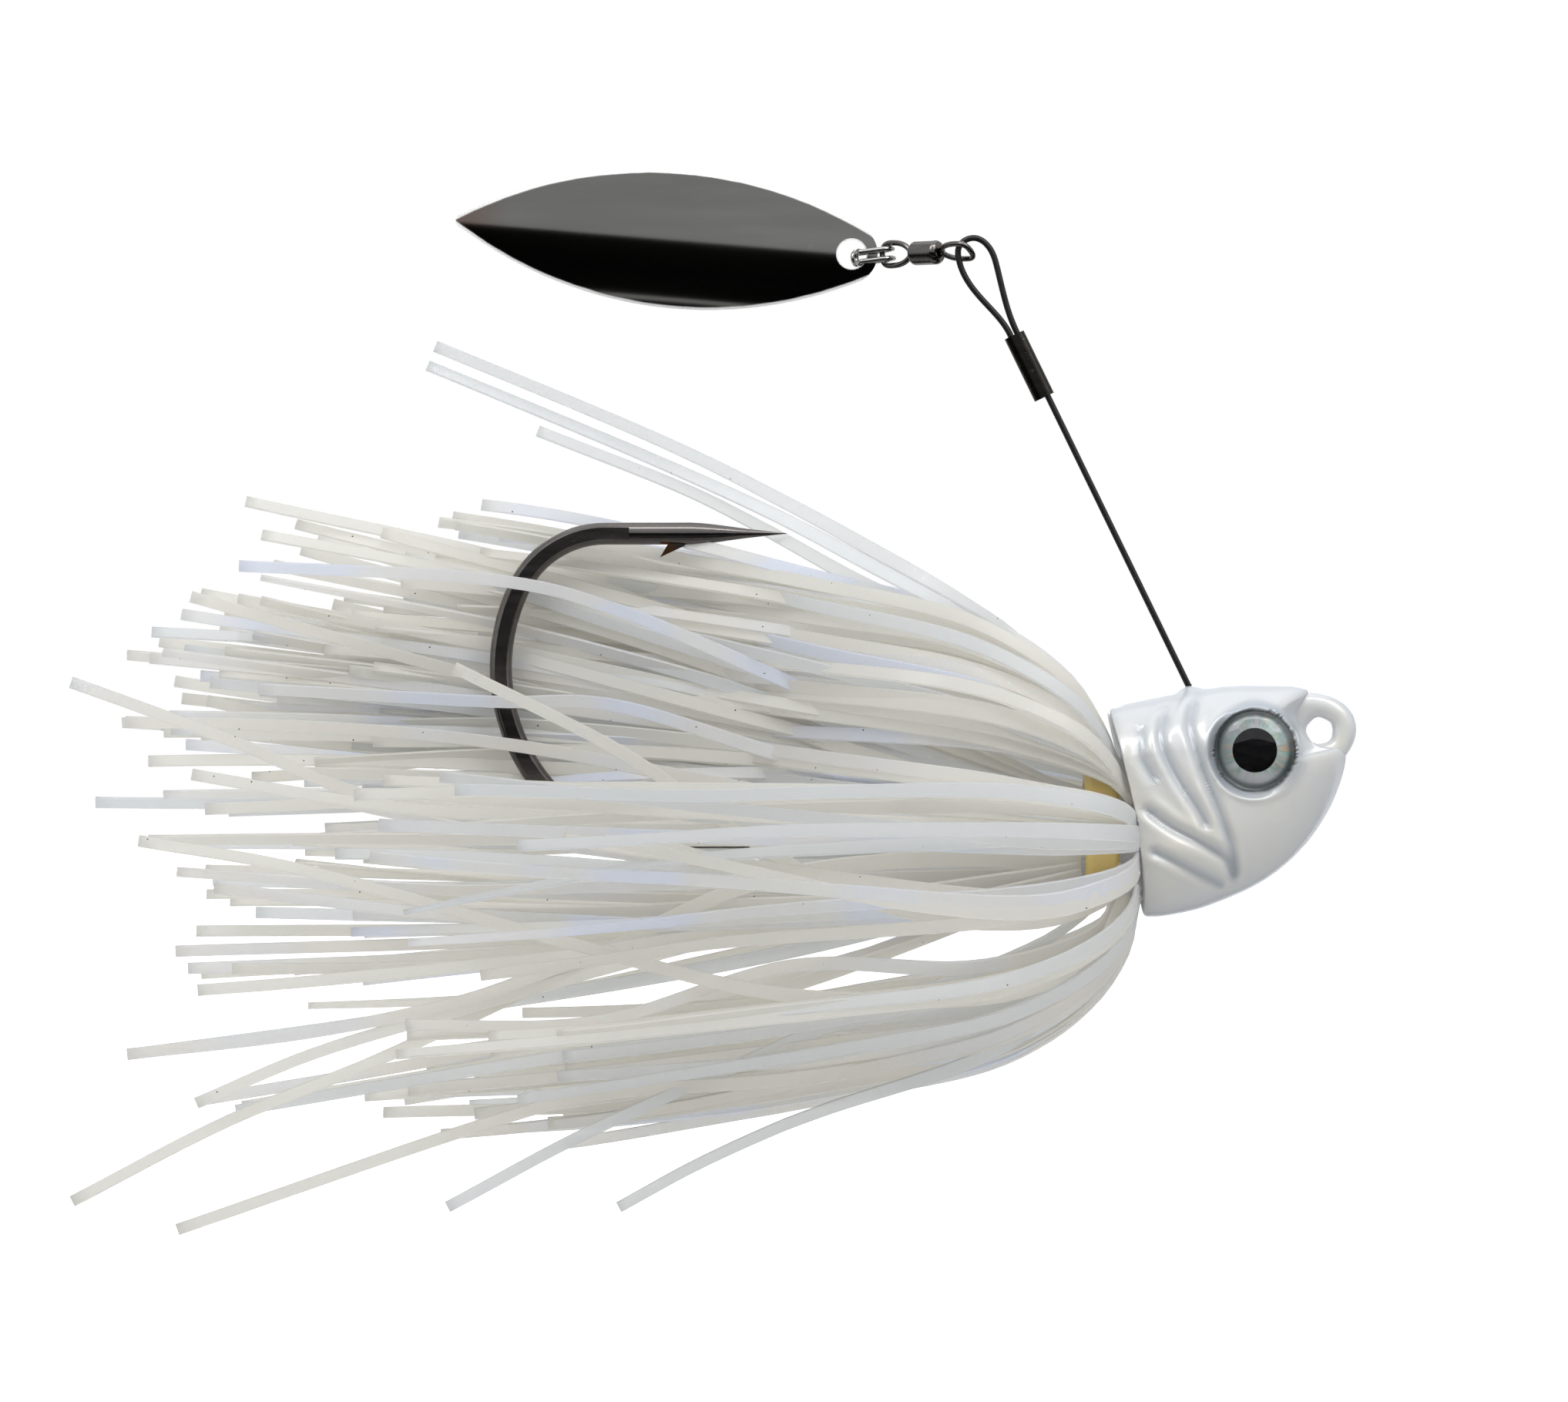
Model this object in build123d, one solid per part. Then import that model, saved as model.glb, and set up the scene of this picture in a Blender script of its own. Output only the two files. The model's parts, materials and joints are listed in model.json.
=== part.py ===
"""Spinnerbait: lead head on a jig hook, flexible upper arm, swivel, willow blade and strand skirt.

Millimetres. +X runs to the nose, +Z up, +Y to the lure's left side.
The origin is the centre of the line-tie eye.
The lure lies in the XZ plane with the blade above the skirt.
"""

import os
from math import acos, asin, cos, degrees, radians, sin, tan

from build123d import *

# ---- hook: one wire, from the point round the bend, along the shank and up into the line-tie eye ----
WIRE_R = 0.70
EYE_R = 1.50  # centre line of the line-tie eye
LINE_HOLE_R = 0.85  # clear hole for the line
EYE_WRAP = 268  # degrees of the eye that the wire covers
EYE_LEAN = 60  # degrees from the shank to the leg that carries the eye
KNEE_R = 2.6
SHANK_Z = -6.66
POINT_Z = 12.27  # centre line of the point leg
BACK = (-39.5, 3.9)  # x, z centre of the bend's wide back arc
BEND_R = (6.0, 11.5, 8.0)  # arcs of the bend from the point leg round to the shank
BEND_HALF_FLAT = 0.60  # the bend is forged flat to this half width
TAPER_X = -39.2  # the needle point starts here
TIP_X = -33.2
BARB = [(-41.08, 10.78), (-40.35, 12.0), (-39.3, 12.0), (-39.55, 11.5)]
BARB_HALF = 0.28

# ---- head casting ----
HEAD_HALF = 4.3  # half thickness at the cheeks
HEAD_LEVELS = (0.0, 0.27, 0.5, 0.69, 0.83, 0.92, 0.975, 1.0)  # fractions of the half thickness
CHEEK_SCALE = 0.42  # size of the flat cheek against the whole outline
CHEEK_POWER = 1.6
MID = (-6.6, -4.2)  # the outline shrinks about this point at the middle
CHEEK = (-11.5, -4.3)  # and about this one at the cheek
HEAD_OUTLINE = [
    (1.55, -1.35), (1.35, -2.90), (0.45, -4.95), (-0.85, -7.05), (-2.40, -8.64), (-4.30, -9.82),
    (-6.67, -10.80), (-8.40, -11.32), (-10.35, -11.55), (-11.10, -10.60), (-11.25, -8.60),
    (-11.45, -5.80), (-11.95, -3.70), (-12.45, -1.60), (-13.10, 0.80), (-12.55, 1.68),
    (-9.60, 2.30), (-6.30, 2.85), (-2.40, 2.85), (-0.75, 2.05), (-0.30, 0.20),
]
LOBE_AT = (-0.55, -0.75)  # x, z
LOBE_R = 2.05  # nose lobe that fills in round the foot of the line-tie eye
LOBE_HALF = 1.25
RELIEF_R = 4.4  # dish in the head's rear face that the skirt's folds sit in
RELIEF_X = -11.5
ARM_BOSS_R = 0.62
GROOVE_W = 0.42
GROOVE_DEPTH = 0.28
GROOVES = [
    [
        (-7.65, 2.20), (-8.27, 0.67), (-8.14, -0.43), (-7.41, -2.63),
        (-6.43, -5.08), (-5.57, -7.53), (-5.33, -9.30),
    ],
    [(-9.61, 1.41), (-10.1, -0.18), (-9.73, -1.65), (-8.88, -3.24), (-7.65, -5.08), (-7.04, -6.31)],
    [(-11.2, -4.75), (-9.49, -5.94), (-7.41, -7.04), (-6.1, -7.9)],
    [(-10.8, -7.35), (-9.12, -8.14), (-7.16, -9.12), (-5.94, -9.74)],
]
SEAT = [  # x, radius: skirt seat, retaining ridge and stem on the shank
    (-9.0, 2.40), (-15.3, 2.40), (-15.9, 2.57), (-16.5, 2.57),
    (-17.4, 2.05), (-22.0, 1.55), (-28.2, 1.15),
]

# ---- stick-on eyes ----
PUPIL = (-4.22, -1.22)  # x, z of the eye centre
EYE_SEAT_Y = 3.05
BEZEL_R = 3.06
SOCKET_R = 2.55
SOCKET_DEPTH = 0.45
FOIL_R = 2.5
FOIL_T = 0.15
DOME_H = 1.0

# ---- upper arm: coated cable, straight out of the head, looped round the swivel and crimped ----
CABLE_R = 0.21
PIVOT = (-8.27, 3.0)  # x, z where the cable leaves the head
ARM_DIR = (-0.4368, 0.8997)
SLEEVE_START = 19.85  # along the cable from the pivot
SLEEVE_LEN = 4.31
SLEEVE_W = 1.33
SLEEVE_T = 0.90
PASS_GAP = 0.44  # centre distance of the two cables in the sleeve
LOOP = [  # x, z round the loop, from the sleeve and back to it
    (-20.1, 28.90), (-20.55, 30.05), (-21.5, 30.68), (-22.42, 30.20), (-22.47, 29.35), (-20.9, 26.72),
]
ROOT_LEN = 5.0
FERRULE_R = 0.78
FERRULE_LEN = 2.8

# ---- swivel: two wire eyes with headed stems in a hollow barrel ----
SWIVEL_YAW = 38  # degrees that the swivel is turned out of the lure's plane
LOOP_WIRE = (-22.45, 0.0, 29.85)  # the swivel turns about this point of the cable loop
SWIVEL_WIRE_R = 0.18
BARREL_R = 0.765
BARREL_LEN = 2.2
BARREL_WALL = 0.20
BARREL_BORE_R = 0.30
EYE_LEN = 2.35
EYE_HALF = 0.78
FRONT_EYE_ROLL = 52  # degrees that the front eye is rolled about the swivel axis
STEM_R = 0.216
STEM_HEAD_R = 0.42
STEM_HEAD_T = 0.20
STEM_PLAY = 0.28  # end play of the stem's head inside the barrel

# ---- folded wire link ----
LINK_WIRE_R = 0.165
LINK_RISE = 7.0  # degrees
LINK_HALF_GAP = 0.68  # from the link's middle plane to each leg
LINK_HALF_H = 0.30
LINK_LEG = 1.85  # from the fold's centre to the end of the far leg's U
LINK_BACK_LEG = 1.66  # and to the end of the near leg's U
LINK_DIP = 0.12  # each U ends this far from the middle plane, inside the blade's hole
RIM_AHEAD = 0.66  # from the fold's centre to the middle of the blade's rim

# ---- willow blade ----
BLADE_T = 0.40
BLADE_END = 1.62  # from the hole centre to the rounded end
BLADE_TO_TIP = 24.95  # from the hole centre to the tip
BLADE_HALF_W = 4.3
BLADE_WIDEST = 11.6  # from the hole centre
BLADE_FALL = 4.9  # degrees that the blade's tip is higher than its eye
BLADE_HOLE_R = 0.925
CUP_R = 11.4  # the leaf is cupped across its width to this radius
RIM_TO_HOLE = 1.27  # from the hole centre to the middle of the rim that the link holds

# ---- skirt ----
STRAND_W = 0.72
STRAND_T = 0.30
COLLAR = (-14.7, -12.6)  # x of the collar's two faces
COLLAR_R = 4.25
SLOTS = 21  # strands round each layer
PARTING = 18  # half angle, in degrees, left open above the shank for the hook bend
LAYERS = [  # radius at the collar, x of the fold, spread of the front half, rear curve, x of both tips
    {"seat": 2.76, "fold": -11.75, "flare": 1.0, "rear_r": 470.0, "tail": -71.0, "lead": -70.0},
    {"seat": 3.16, "fold": -12.42, "flare": 0.74, "rear_r": 250.0, "tail": -73.0, "lead": -66.0},
]
FOLD_R = 0.36
SHOULDER = [(9.0, 42), (24.0, 46)]  # radius and turn of the two arcs that lay the front half back
TRAIL_R = 320.0  # and radius of the long arc that ends it
TOP_LEAN = 25  # degrees that the upper strands fold further back, behind the head's overhanging top

STAND = (Align.CENTER, Align.CENTER, Align.MIN)  # solids that stand on their base
HANG = (Align.CENTER, Align.CENTER, Align.MAX)  # solids that hang from their top


def xz(x, z, y=0.0):
    """Point in the lure's middle plane."""
    return Vector(x, y, z)


def rod(path, radius):
    """Round wire along a path."""
    return sweep(Plane(origin=path @ 0, z_dir=path % 0) * Circle(radius), path=path)


def arc_xz(cx, cz, radius, start, end):
    """Arc in the middle plane, angles in degrees from +X towards +Z."""
    angles = [radians(a) for a in (start, (start + end) / 2, end)]
    return ThreePointArc(*[xz(cx + radius * cos(a), cz + radius * sin(a)) for a in angles])


def along_x(x0, x1, radius, z=SHANK_Z):
    """Cylinder parallel to X."""
    foot = Plane(origin=xz(min(x0, x1), z), z_dir=(1, 0, 0))
    return foot * Cylinder(radius, abs(x1 - x0), align=STAND)


# ---------------------------------------------------------------- hook


def hook_path():
    """Centre line from the point's taper to the end of the line-tie eye."""
    lean = radians(EYE_LEAN)
    touch = xz(-EYE_R * sin(lean), EYE_R * cos(lean))
    knee_x = touch.X - (touch.Z - SHANK_Z) / tan(lean)
    cut = KNEE_R * tan(lean / 2)
    knee_from = xz(knee_x - cut, SHANK_Z)
    knee_to = xz(knee_x + cut * cos(lean), SHANK_Z + cut * sin(lean))
    upper, back, lower = BEND_R
    turn_top = degrees(acos((POINT_Z - BACK[1] - upper) / (back - upper)))
    turn_low = degrees(acos((BACK[1] - SHANK_Z - lower) / (back - lower)))
    top_x = BACK[0] - (back - upper) * sin(radians(turn_top))
    low_x = BACK[0] - (back - lower) * sin(radians(turn_low))
    return Wire([
        Line(xz(TAPER_X, POINT_Z), xz(top_x, POINT_Z)).edge(),
        arc_xz(top_x, POINT_Z - upper, upper, 90, 90 + turn_top).edge(),
        arc_xz(*BACK, back, 90 + turn_top, 270 - turn_low).edge(),
        arc_xz(low_x, SHANK_Z + lower, lower, 270 - turn_low, 270).edge(),
        Line(xz(low_x, SHANK_Z), knee_from).edge(),
        arc_xz(knee_from.X, SHANK_Z + KNEE_R, KNEE_R, -90, -90 + EYE_LEAN).edge(),
        Line(knee_to, touch).edge(),
        arc_xz(0, 0, EYE_R, 90 + EYE_LEAN, 90 + EYE_LEAN - EYE_WRAP).edge(),
    ])


def hook_point():
    """Needle point: an ogive of revolution on the wire's end."""
    start, length = xz(TAPER_X, POINT_Z), TIP_X - TAPER_X
    frame = Plane(origin=start, x_dir=(1, 0, 0), z_dir=(0, -1, 0))
    waist = (length * 0.5, WIRE_R * 0.52)
    side = Spline((0, WIRE_R), waist, (length, 0.02), tangents=[(1, -0.03), (1, -0.11)])
    outline = side + Polyline((length, 0.02), (length, 0), (0, 0), (0, WIRE_R))
    return revolve(frame * make_face(outline), axis=Axis(start, (1, 0, 0)))


def bend_flats():
    """Material taken off both sides where the bend is forged flat."""
    slab = Pos(-48, BEND_HALF_FLAT + 1, 3) * Box(10, 2, 24)
    return slab + mirror(slab, about=Plane.XZ)


def build_hook():
    path = hook_path()
    barb = extrude(make_face(Polyline(*[xz(x, z) for x, z in BARB], close=True)), BARB_HALF, both=True)
    hole = Rot(90, 0, 0) * Cylinder(LINE_HOLE_R, 4)
    return rod(path, WIRE_R) + hook_point() + barb - bend_flats() - hole


# ---------------------------------------------------------------- head


def cheek_section(level, inset=0.0):
    """One slice of the head: the outline shrunk about a point that drifts back towards the cheek."""
    full = (1 - level**CHEEK_POWER) ** (1 / CHEEK_POWER)
    scale = CHEEK_SCALE + (1 - CHEEK_SCALE) * full - inset / 7.0
    cx = MID[0] + (CHEEK[0] - MID[0]) * level
    cz = MID[1] + (CHEEK[1] - MID[1]) * level
    return [(cx + (x - cx) * scale, cz + (z - cz) * scale) for x, z in HEAD_OUTLINE]


def head_body(inset=0.0):
    """Pillow through the slices, the same on both sides."""
    slices = []
    for level in [-v for v in reversed(HEAD_LEVELS[1:])] + list(HEAD_LEVELS):
        y = level * (HEAD_HALF - inset)
        ring = Spline(*[xz(x, z, y) for x, z in cheek_section(abs(level), inset)], periodic=True)
        slices.append(make_face(ring))
    return loft(slices)


def gill_grooves():
    """Grooves that mark the gill plates, cut to an even depth from both sides."""
    cuts = []
    for points in GROOVES:
        line = Spline(*[xz(x, z) for x, z in points])
        strip = trace(Plane.XZ.to_local_coords(line), GROOVE_W)
        cuts.append(extrude(Plane.XZ * strip, 6, both=True))
    return Compound(cuts) - head_body(GROOVE_DEPTH)


def on_cheek(shape, side, y):
    """Stands a shape built on +Z out of the eye seat; side is -1 for right and +1 for left."""
    return Plane(origin=xz(PUPIL[0], PUPIL[1], side * y), x_dir=(1, 0, 0), z_dir=(0, side, 0)) * shape


def eye_bezel(side):
    """Raised rim round an eye."""
    rim = Cylinder(BEZEL_R, 1.0, align=HANG)
    cone = Cone(BEZEL_R, SOCKET_R + 0.12, SOCKET_DEPTH, align=STAND)
    return on_cheek(rim + cone, side, EYE_SEAT_Y)


def eye_socket(side):
    """Flat-bottomed pocket, open outwards."""
    return on_cheek(Cylinder(SOCKET_R, 3, align=STAND), side, EYE_SEAT_Y)


def skirt_seat():
    """Seat, ridge and stem, turned about the shank."""
    profile = [(SEAT[0][0], 0)] + SEAT + [(SEAT[-1][0], 0)]
    outline = Polyline(*[xz(x, SHANK_Z + r) for x, r in profile], close=True)
    return revolve(make_face(outline), axis=Axis((0, 0, SHANK_Z), (1, 0, 0)))


def arm_boss():
    """Small rise where the cable leaves the head."""
    up = Vector(ARM_DIR[0], 0, ARM_DIR[1])
    foot = xz(*PIVOT) - up * 1.4
    cone = Cone(ARM_BOSS_R * 1.5, ARM_BOSS_R, 1.16, align=STAND)
    return Plane(origin=foot, z_dir=up) * cone


def build_casting(hook, tail, ferrule):
    lobe = Pos(LOBE_AT[0], 0, LOBE_AT[1]) * (Rot(90, 0, 0) * Cylinder(LOBE_R, 2 * LOBE_HALF))
    solid = head_body() - along_x(RELIEF_X - 3, RELIEF_X, RELIEF_R) + lobe + skirt_seat() + arm_boss()
    for side in (-1, 1):
        solid += eye_bezel(side)
    solid -= gill_grooves()
    for side in (-1, 1):
        solid -= eye_socket(side)
    solid -= Rot(90, 0, 0) * Cylinder(LINE_HOLE_R, 12)
    for inner in (hook, tail, ferrule):
        solid -= inner
    return solid


def build_eye(side):
    """Foil disc and clear dome of one eye."""
    foil = Cylinder(FOIL_R, FOIL_T, align=STAND)
    cap_r = (FOIL_R**2 + DOME_H**2) / (2 * DOME_H)
    ball = Pos(0, 0, FOIL_T + DOME_H - cap_r) * Sphere(cap_r)
    dome = ball & (Pos(0, 0, FOIL_T) * Cylinder(FOIL_R, DOME_H, align=STAND))
    return on_cheek(foil, side, EYE_SEAT_Y), on_cheek(dome, side, EYE_SEAT_Y)


# ---------------------------------------------------------------- upper arm


def arm_frame():
    """Direction of the cable and the direction across it, towards the loop's return."""
    up = Vector(ARM_DIR[0], 0, ARM_DIR[1]).normalized()
    return up, Vector(-up.Z, 0, up.X)


def build_arm():
    """Cable from the head, round the loop and back into the sleeve, plus the sleeve."""
    up, across = arm_frame()
    pivot = xz(*PIVOT)
    out = pivot + up * (SLEEVE_START + SLEEVE_LEN + 0.15)
    back = out + across * PASS_GAP
    end = pivot + up * (SLEEVE_START + 0.3) + across * PASS_GAP
    loop = Spline(out, *[xz(x, z) for x, z in LOOP], back, tangents=[up, up * -1])
    path = Wire([Line(pivot, out).edge(), loop.edge(), Line(back, end).edge()])
    cable = rod(path, CABLE_R) + Pos(pivot) * Sphere(CABLE_R)
    foot = Plane(origin=pivot + up * SLEEVE_START + across * (PASS_GAP / 2), x_dir=across, z_dir=up)
    tube = extrude(foot * SlotOverall(SLEEVE_W, SLEEVE_T), SLEEVE_LEN)
    web = extrude(foot * Rectangle(PASS_GAP, CABLE_R), SLEEVE_LEN)
    tube -= web
    for x in (-PASS_GAP / 2, PASS_GAP / 2):
        tube -= extrude(foot * Pos(x, 0) * Circle(CABLE_R), SLEEVE_LEN)
    return cable, tube


def build_root():
    """Tail of the cable in the lead and the ferrule crimped on it."""
    up, _ = arm_frame()
    top = xz(*PIVOT) - up * (CABLE_R + 0.01)
    tail = rod(Wire([Line(top, top - up * ROOT_LEN).edge()]), CABLE_R)
    foot = Plane(origin=top - up * ROOT_LEN, z_dir=up)
    ferrule = foot * Cylinder(FERRULE_R, FERRULE_LEN, align=STAND)
    return tail, ferrule - tail


# ---------------------------------------------------------------- swivel, link and blade


def wire_eye(length, half, roll):
    """Swivel eye on +Z from the barrel's end: drop-shaped ring, stem, and its head inside the barrel."""
    flat = [(0.0, 0.05), (half * 0.80, length * 0.36), (half * 0.92, length * 0.68), (0.0, length)]
    curve = Spline(*[Vector(x, 0, z) for x, z in flat], tangents=[(1, 0, 0.55), (-1, 0, 0)])
    side = rod(curve, SWIVEL_WIRE_R)
    ring = side + mirror(side, about=Plane.YZ)
    inner = BARREL_WALL + STEM_PLAY
    stem = Pos(0, 0, -inner) * Cylinder(STEM_R, inner + STEM_HEAD_T, align=STAND)
    head = Pos(0, 0, -inner) * Cylinder(STEM_HEAD_R, STEM_HEAD_T, align=HANG)
    return Rot(0, 0, roll) * (ring + stem + head)


def swivel_frames():
    """Planes at the barrel's front and rear faces, z pointing outwards."""
    yaw = radians(SWIVEL_YAW)
    ahead = Vector(cos(yaw), -sin(yaw), 0)
    hold = 0.62 * EYE_LEN  # from the barrel's face to the cable inside the front eye
    face = Vector(*LOOP_WIRE) - ahead * hold
    front = Plane(origin=face, x_dir=(0, 0, 1), z_dir=ahead)
    rear = Plane(origin=face - ahead * BARREL_LEN, x_dir=(0, 0, 1), z_dir=ahead * -1)
    return front, rear


def turned(radius, half, corner):
    """Solid of revolution: a cylinder about Z with rounded rims."""
    outline = make_face(Polyline((0, -half), (radius, -half), (radius, half), (0, half), close=True))
    outline = fillet(outline.vertices().filter_by(lambda v: v.X > 0.1), corner)
    return revolve(Plane.XZ * outline, axis=Axis.Z)


def build_barrel(front):
    """Thin turned shell, rounded at both ends, with a hole at each end for an eye's stem."""
    half = BARREL_LEN / 2
    shell = turned(BARREL_R, half, 0.36) - turned(BARREL_R - BARREL_WALL, half - BARREL_WALL, 0.18)
    shell -= Cylinder(BARREL_BORE_R, BARREL_LEN * 2)
    return front * (Pos(0, 0, -half) * shell)


def rear_wire(rear):
    """Middle of the rear eye's far wire, which the link folds round."""
    return rear.origin + rear.z_dir * EYE_LEN


def link_frame(rear):
    """Link's own frame: x back along the link towards the blade, y across its legs, z up its height."""
    lean = radians(LINK_RISE)
    along, high = (-cos(lean), 0, -sin(lean)), (-sin(lean), 0, cos(lean))
    return Plane(origin=rear_wire(rear), x_dir=along, z_dir=high)


def build_link(rear):
    """Closed wire folded over the rear eye: two legs, each with a U that dips into the blade's hole."""
    gap, high = LINK_HALF_GAP, LINK_HALF_H
    legs = ((-gap, -LINK_DIP, LINK_LEG), (gap, LINK_DIP, LINK_BACK_LEG))
    pieces = []
    for y, dip, length in legs:
        start = length - high
        bend = ThreePointArc((start, y, high), (length, dip, 0), (start, y, -high))
        pieces.append(rod(Wire([bend.edge()]), LINK_WIRE_R))
        for z in (-high, high):
            pieces.append(rod(Wire([Line((0, y, z), (start, y, z)).edge()]), LINK_WIRE_R))
            pieces.append(Pos(start, y, z) * Sphere(LINK_WIRE_R))
    for z in (-high, high):
        fold = ThreePointArc((0, -gap, z), (-gap, 0, z), (0, gap, z))
        pieces.append(rod(Wire([fold.edge()]), LINK_WIRE_R))
    solid = pieces[0]
    for piece in pieces[1:]:
        solid += piece
    return link_frame(rear) * solid


def blade_outline():
    """Willow leaf in its own plane: the hole at the origin, the tip on +X."""
    shoulder, nib = (-0.75, 1.58), (BLADE_TO_TIP - 0.35, 0.42)
    side = ThreePointArc(shoulder, (BLADE_WIDEST, BLADE_HALF_W), nib)
    end = ThreePointArc((shoulder[0], -shoulder[1]), (-BLADE_END, 0), shoulder)
    tip = ThreePointArc(nib, (BLADE_TO_TIP, 0), (nib[0], -nib[1]))
    return make_face(end + side + tip + mirror(side, about=Plane.XZ))


def blade_frame(rear):
    """Blade's plane: x from the hole to the tip, z across the leaf, in the link's middle plane."""
    link = link_frame(rear)
    rim = link.origin + link.x_dir * RIM_AHEAD
    fall = radians(BLADE_FALL)
    along = Vector(-cos(fall), 0, sin(fall))
    return Plane(origin=rim + along * RIM_TO_HOLE, x_dir=along, z_dir=(0, -1, 0))


def build_blade(rear):
    """Leaf cut from a sheet cupped across its width, crown outwards, with a round hole."""
    leaf = extrude(blade_outline(), 6, both=True) - Cylinder(BLADE_HOLE_R, 14)
    outer, inner = [Rot(0, 90, 0) * Cylinder(CUP_R + t, 80) for t in (BLADE_T / 2, -BLADE_T / 2)]
    sheet = (Pos(0, 0, CUP_R) * leaf) & (outer - inner)
    return blade_frame(rear) * (Pos(0, 0, -CUP_R) * sheet)


# ---------------------------------------------------------------- skirt


def arc_chain(start, heading, turns):
    """Tangent arcs in the middle plane; each turn is a radius and an angle in degrees to the left."""
    edges = []
    for radius, turn in turns:
        side = heading + 90
        cx = start[0] + radius * cos(radians(side))
        cz = start[1] + radius * sin(radians(side))
        edges.append(arc_xz(cx, cz, radius, heading - 90, heading - 90 + turn).edge())
        heading += turn
        start = (cx + radius * cos(radians(heading - 90)), cz + radius * sin(radians(heading - 90)))
    return edges, start


def build_strand(layer, angle, index):
    """One strand: rear half, collar, fold and front half, drawn upright and turned about the shank."""
    spread = (1 - 0.16 * abs(sin(radians(angle)))) * (1 + 0.05 * sin(2.4 * index))
    lean = TOP_LEAN * max(cos(radians(angle)), 0)
    behind, seat_z = COLLAR[0] - 0.2, SHANK_Z + layer["seat"]
    rear_r = layer["rear_r"] / spread
    swing = asin((behind - layer["tail"] + 2.5 * sin(1.7 * index)) / rear_r)
    flare = layer["flare"] * spread
    turns = [(FOLD_R, 90 + lean), (SHOULDER[0][0] * flare, SHOULDER[0][1] - lean)]
    turns.append((SHOULDER[1][0] * flare, SHOULDER[1][1]))
    turn_x = layer["fold"] - FOLD_R
    front, end = arc_chain((turn_x, seat_z), 0, turns)
    trail = end[0] - layer["lead"] + 3.0 * sin(2.9 * index + 1)
    heading = 90 + SHOULDER[0][1] + SHOULDER[1][1]
    front += arc_chain(end, heading, [(TRAIL_R, degrees(trail / TRAIL_R))])[0]
    path = Wire([
        arc_xz(behind, seat_z + rear_r, rear_r, 270 - degrees(swing), 270).edge(),
        Line(xz(behind, seat_z), xz(turn_x, seat_z)).edge(),
        *front,
    ])
    section = Plane(origin=path @ 0, x_dir=(0, 1, 0), z_dir=path % 0) * Rectangle(STRAND_W, STRAND_T)
    return sweep(section, path=path).rotate(Axis((0, 0, SHANK_Z), (1, 0, 0)), angle)


def build_strands():
    """Both layers, dealt out in turn to the four kinds of strand."""
    groups = {"skirt_pearl": [], "skirt_smoke": [], "skirt_flash": [], "skirt_glitter": []}
    names = ["skirt_pearl", "skirt_smoke", "skirt_pearl", "skirt_flash", "skirt_glitter"]
    pitch = (360 - 2 * PARTING) / (SLOTS - 1)
    count = 0
    for depth, layer in enumerate(LAYERS):
        for slot in range(SLOTS):
            angle = PARTING + pitch * slot
            groups[names[count % len(names)]].append(build_strand(layer, angle, slot + 7 * depth))
            count += 1
    return {name: Compound(children=strands) for name, strands in groups.items()}


def build_collar():
    outer = along_x(*COLLAR, COLLAR_R)
    outer = fillet(outer.edges().filter_by(GeomType.CIRCLE), 0.45)
    return outer - along_x(COLLAR[0] - 1, COLLAR[1] + 1, LAYERS[-1]["seat"] + STRAND_T / 2 + 0.06)


def build_all():
    hook = build_hook()
    tail, ferrule = build_root()
    cable, sleeve = build_arm()
    front, rear = swivel_frames()
    nodes = {
        "head_casting": build_casting(hook, tail, ferrule),
        "hook": hook,
        "arm_cable_root": tail,
        "arm_anchor_ferrule": ferrule,
        "arm_cable": cable,
        "arm_crimp_sleeve": sleeve,
        "swivel_front_eye": front * wire_eye(EYE_LEN, EYE_HALF, FRONT_EYE_ROLL),
        "swivel_barrel": build_barrel(front),
        "swivel_rear_eye": rear * wire_eye(EYE_LEN, EYE_HALF, 0),
        "blade_link": build_link(rear),
        "blade": build_blade(rear),
        "skirt_collar": build_collar(),
    }
    for side, word in ((-1, "right"), (1, "left")):
        nodes["eye_foil_" + word], nodes["eye_dome_" + word] = build_eye(side)
    nodes.update(build_strands())
    return nodes


os.makedirs("parts", exist_ok=True)
for name, shape in build_all().items():
    export_step(shape, "parts/" + name + ".step")
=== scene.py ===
import json
import math

import bmesh
import bpy
import numpy as np
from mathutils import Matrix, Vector


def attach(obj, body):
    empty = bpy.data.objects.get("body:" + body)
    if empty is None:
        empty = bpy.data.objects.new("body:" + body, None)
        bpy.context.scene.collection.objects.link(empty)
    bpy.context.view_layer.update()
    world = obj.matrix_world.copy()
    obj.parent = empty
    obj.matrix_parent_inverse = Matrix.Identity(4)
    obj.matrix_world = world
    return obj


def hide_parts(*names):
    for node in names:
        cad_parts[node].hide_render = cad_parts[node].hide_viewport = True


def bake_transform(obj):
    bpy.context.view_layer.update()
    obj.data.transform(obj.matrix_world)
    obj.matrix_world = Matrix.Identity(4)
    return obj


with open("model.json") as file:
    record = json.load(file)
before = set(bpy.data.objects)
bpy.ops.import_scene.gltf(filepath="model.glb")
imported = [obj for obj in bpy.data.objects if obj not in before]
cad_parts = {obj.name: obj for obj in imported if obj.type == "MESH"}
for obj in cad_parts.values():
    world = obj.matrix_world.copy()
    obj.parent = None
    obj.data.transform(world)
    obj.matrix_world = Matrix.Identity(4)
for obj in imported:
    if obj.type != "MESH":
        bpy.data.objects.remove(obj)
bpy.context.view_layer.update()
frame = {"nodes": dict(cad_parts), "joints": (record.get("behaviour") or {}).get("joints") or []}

MM = 0.001
RNG = np.random.default_rng(41)
SHANK_Z = -6.66  # height of the hook shank, which is the skirt's axis
NODES = frame["nodes"]
BLADE_HOLE = (-29.104, 29.878)  # x, z of the blade's hole
BLADE_RISE = 4.9  # degrees that the blade's tip is higher than its hole


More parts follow.
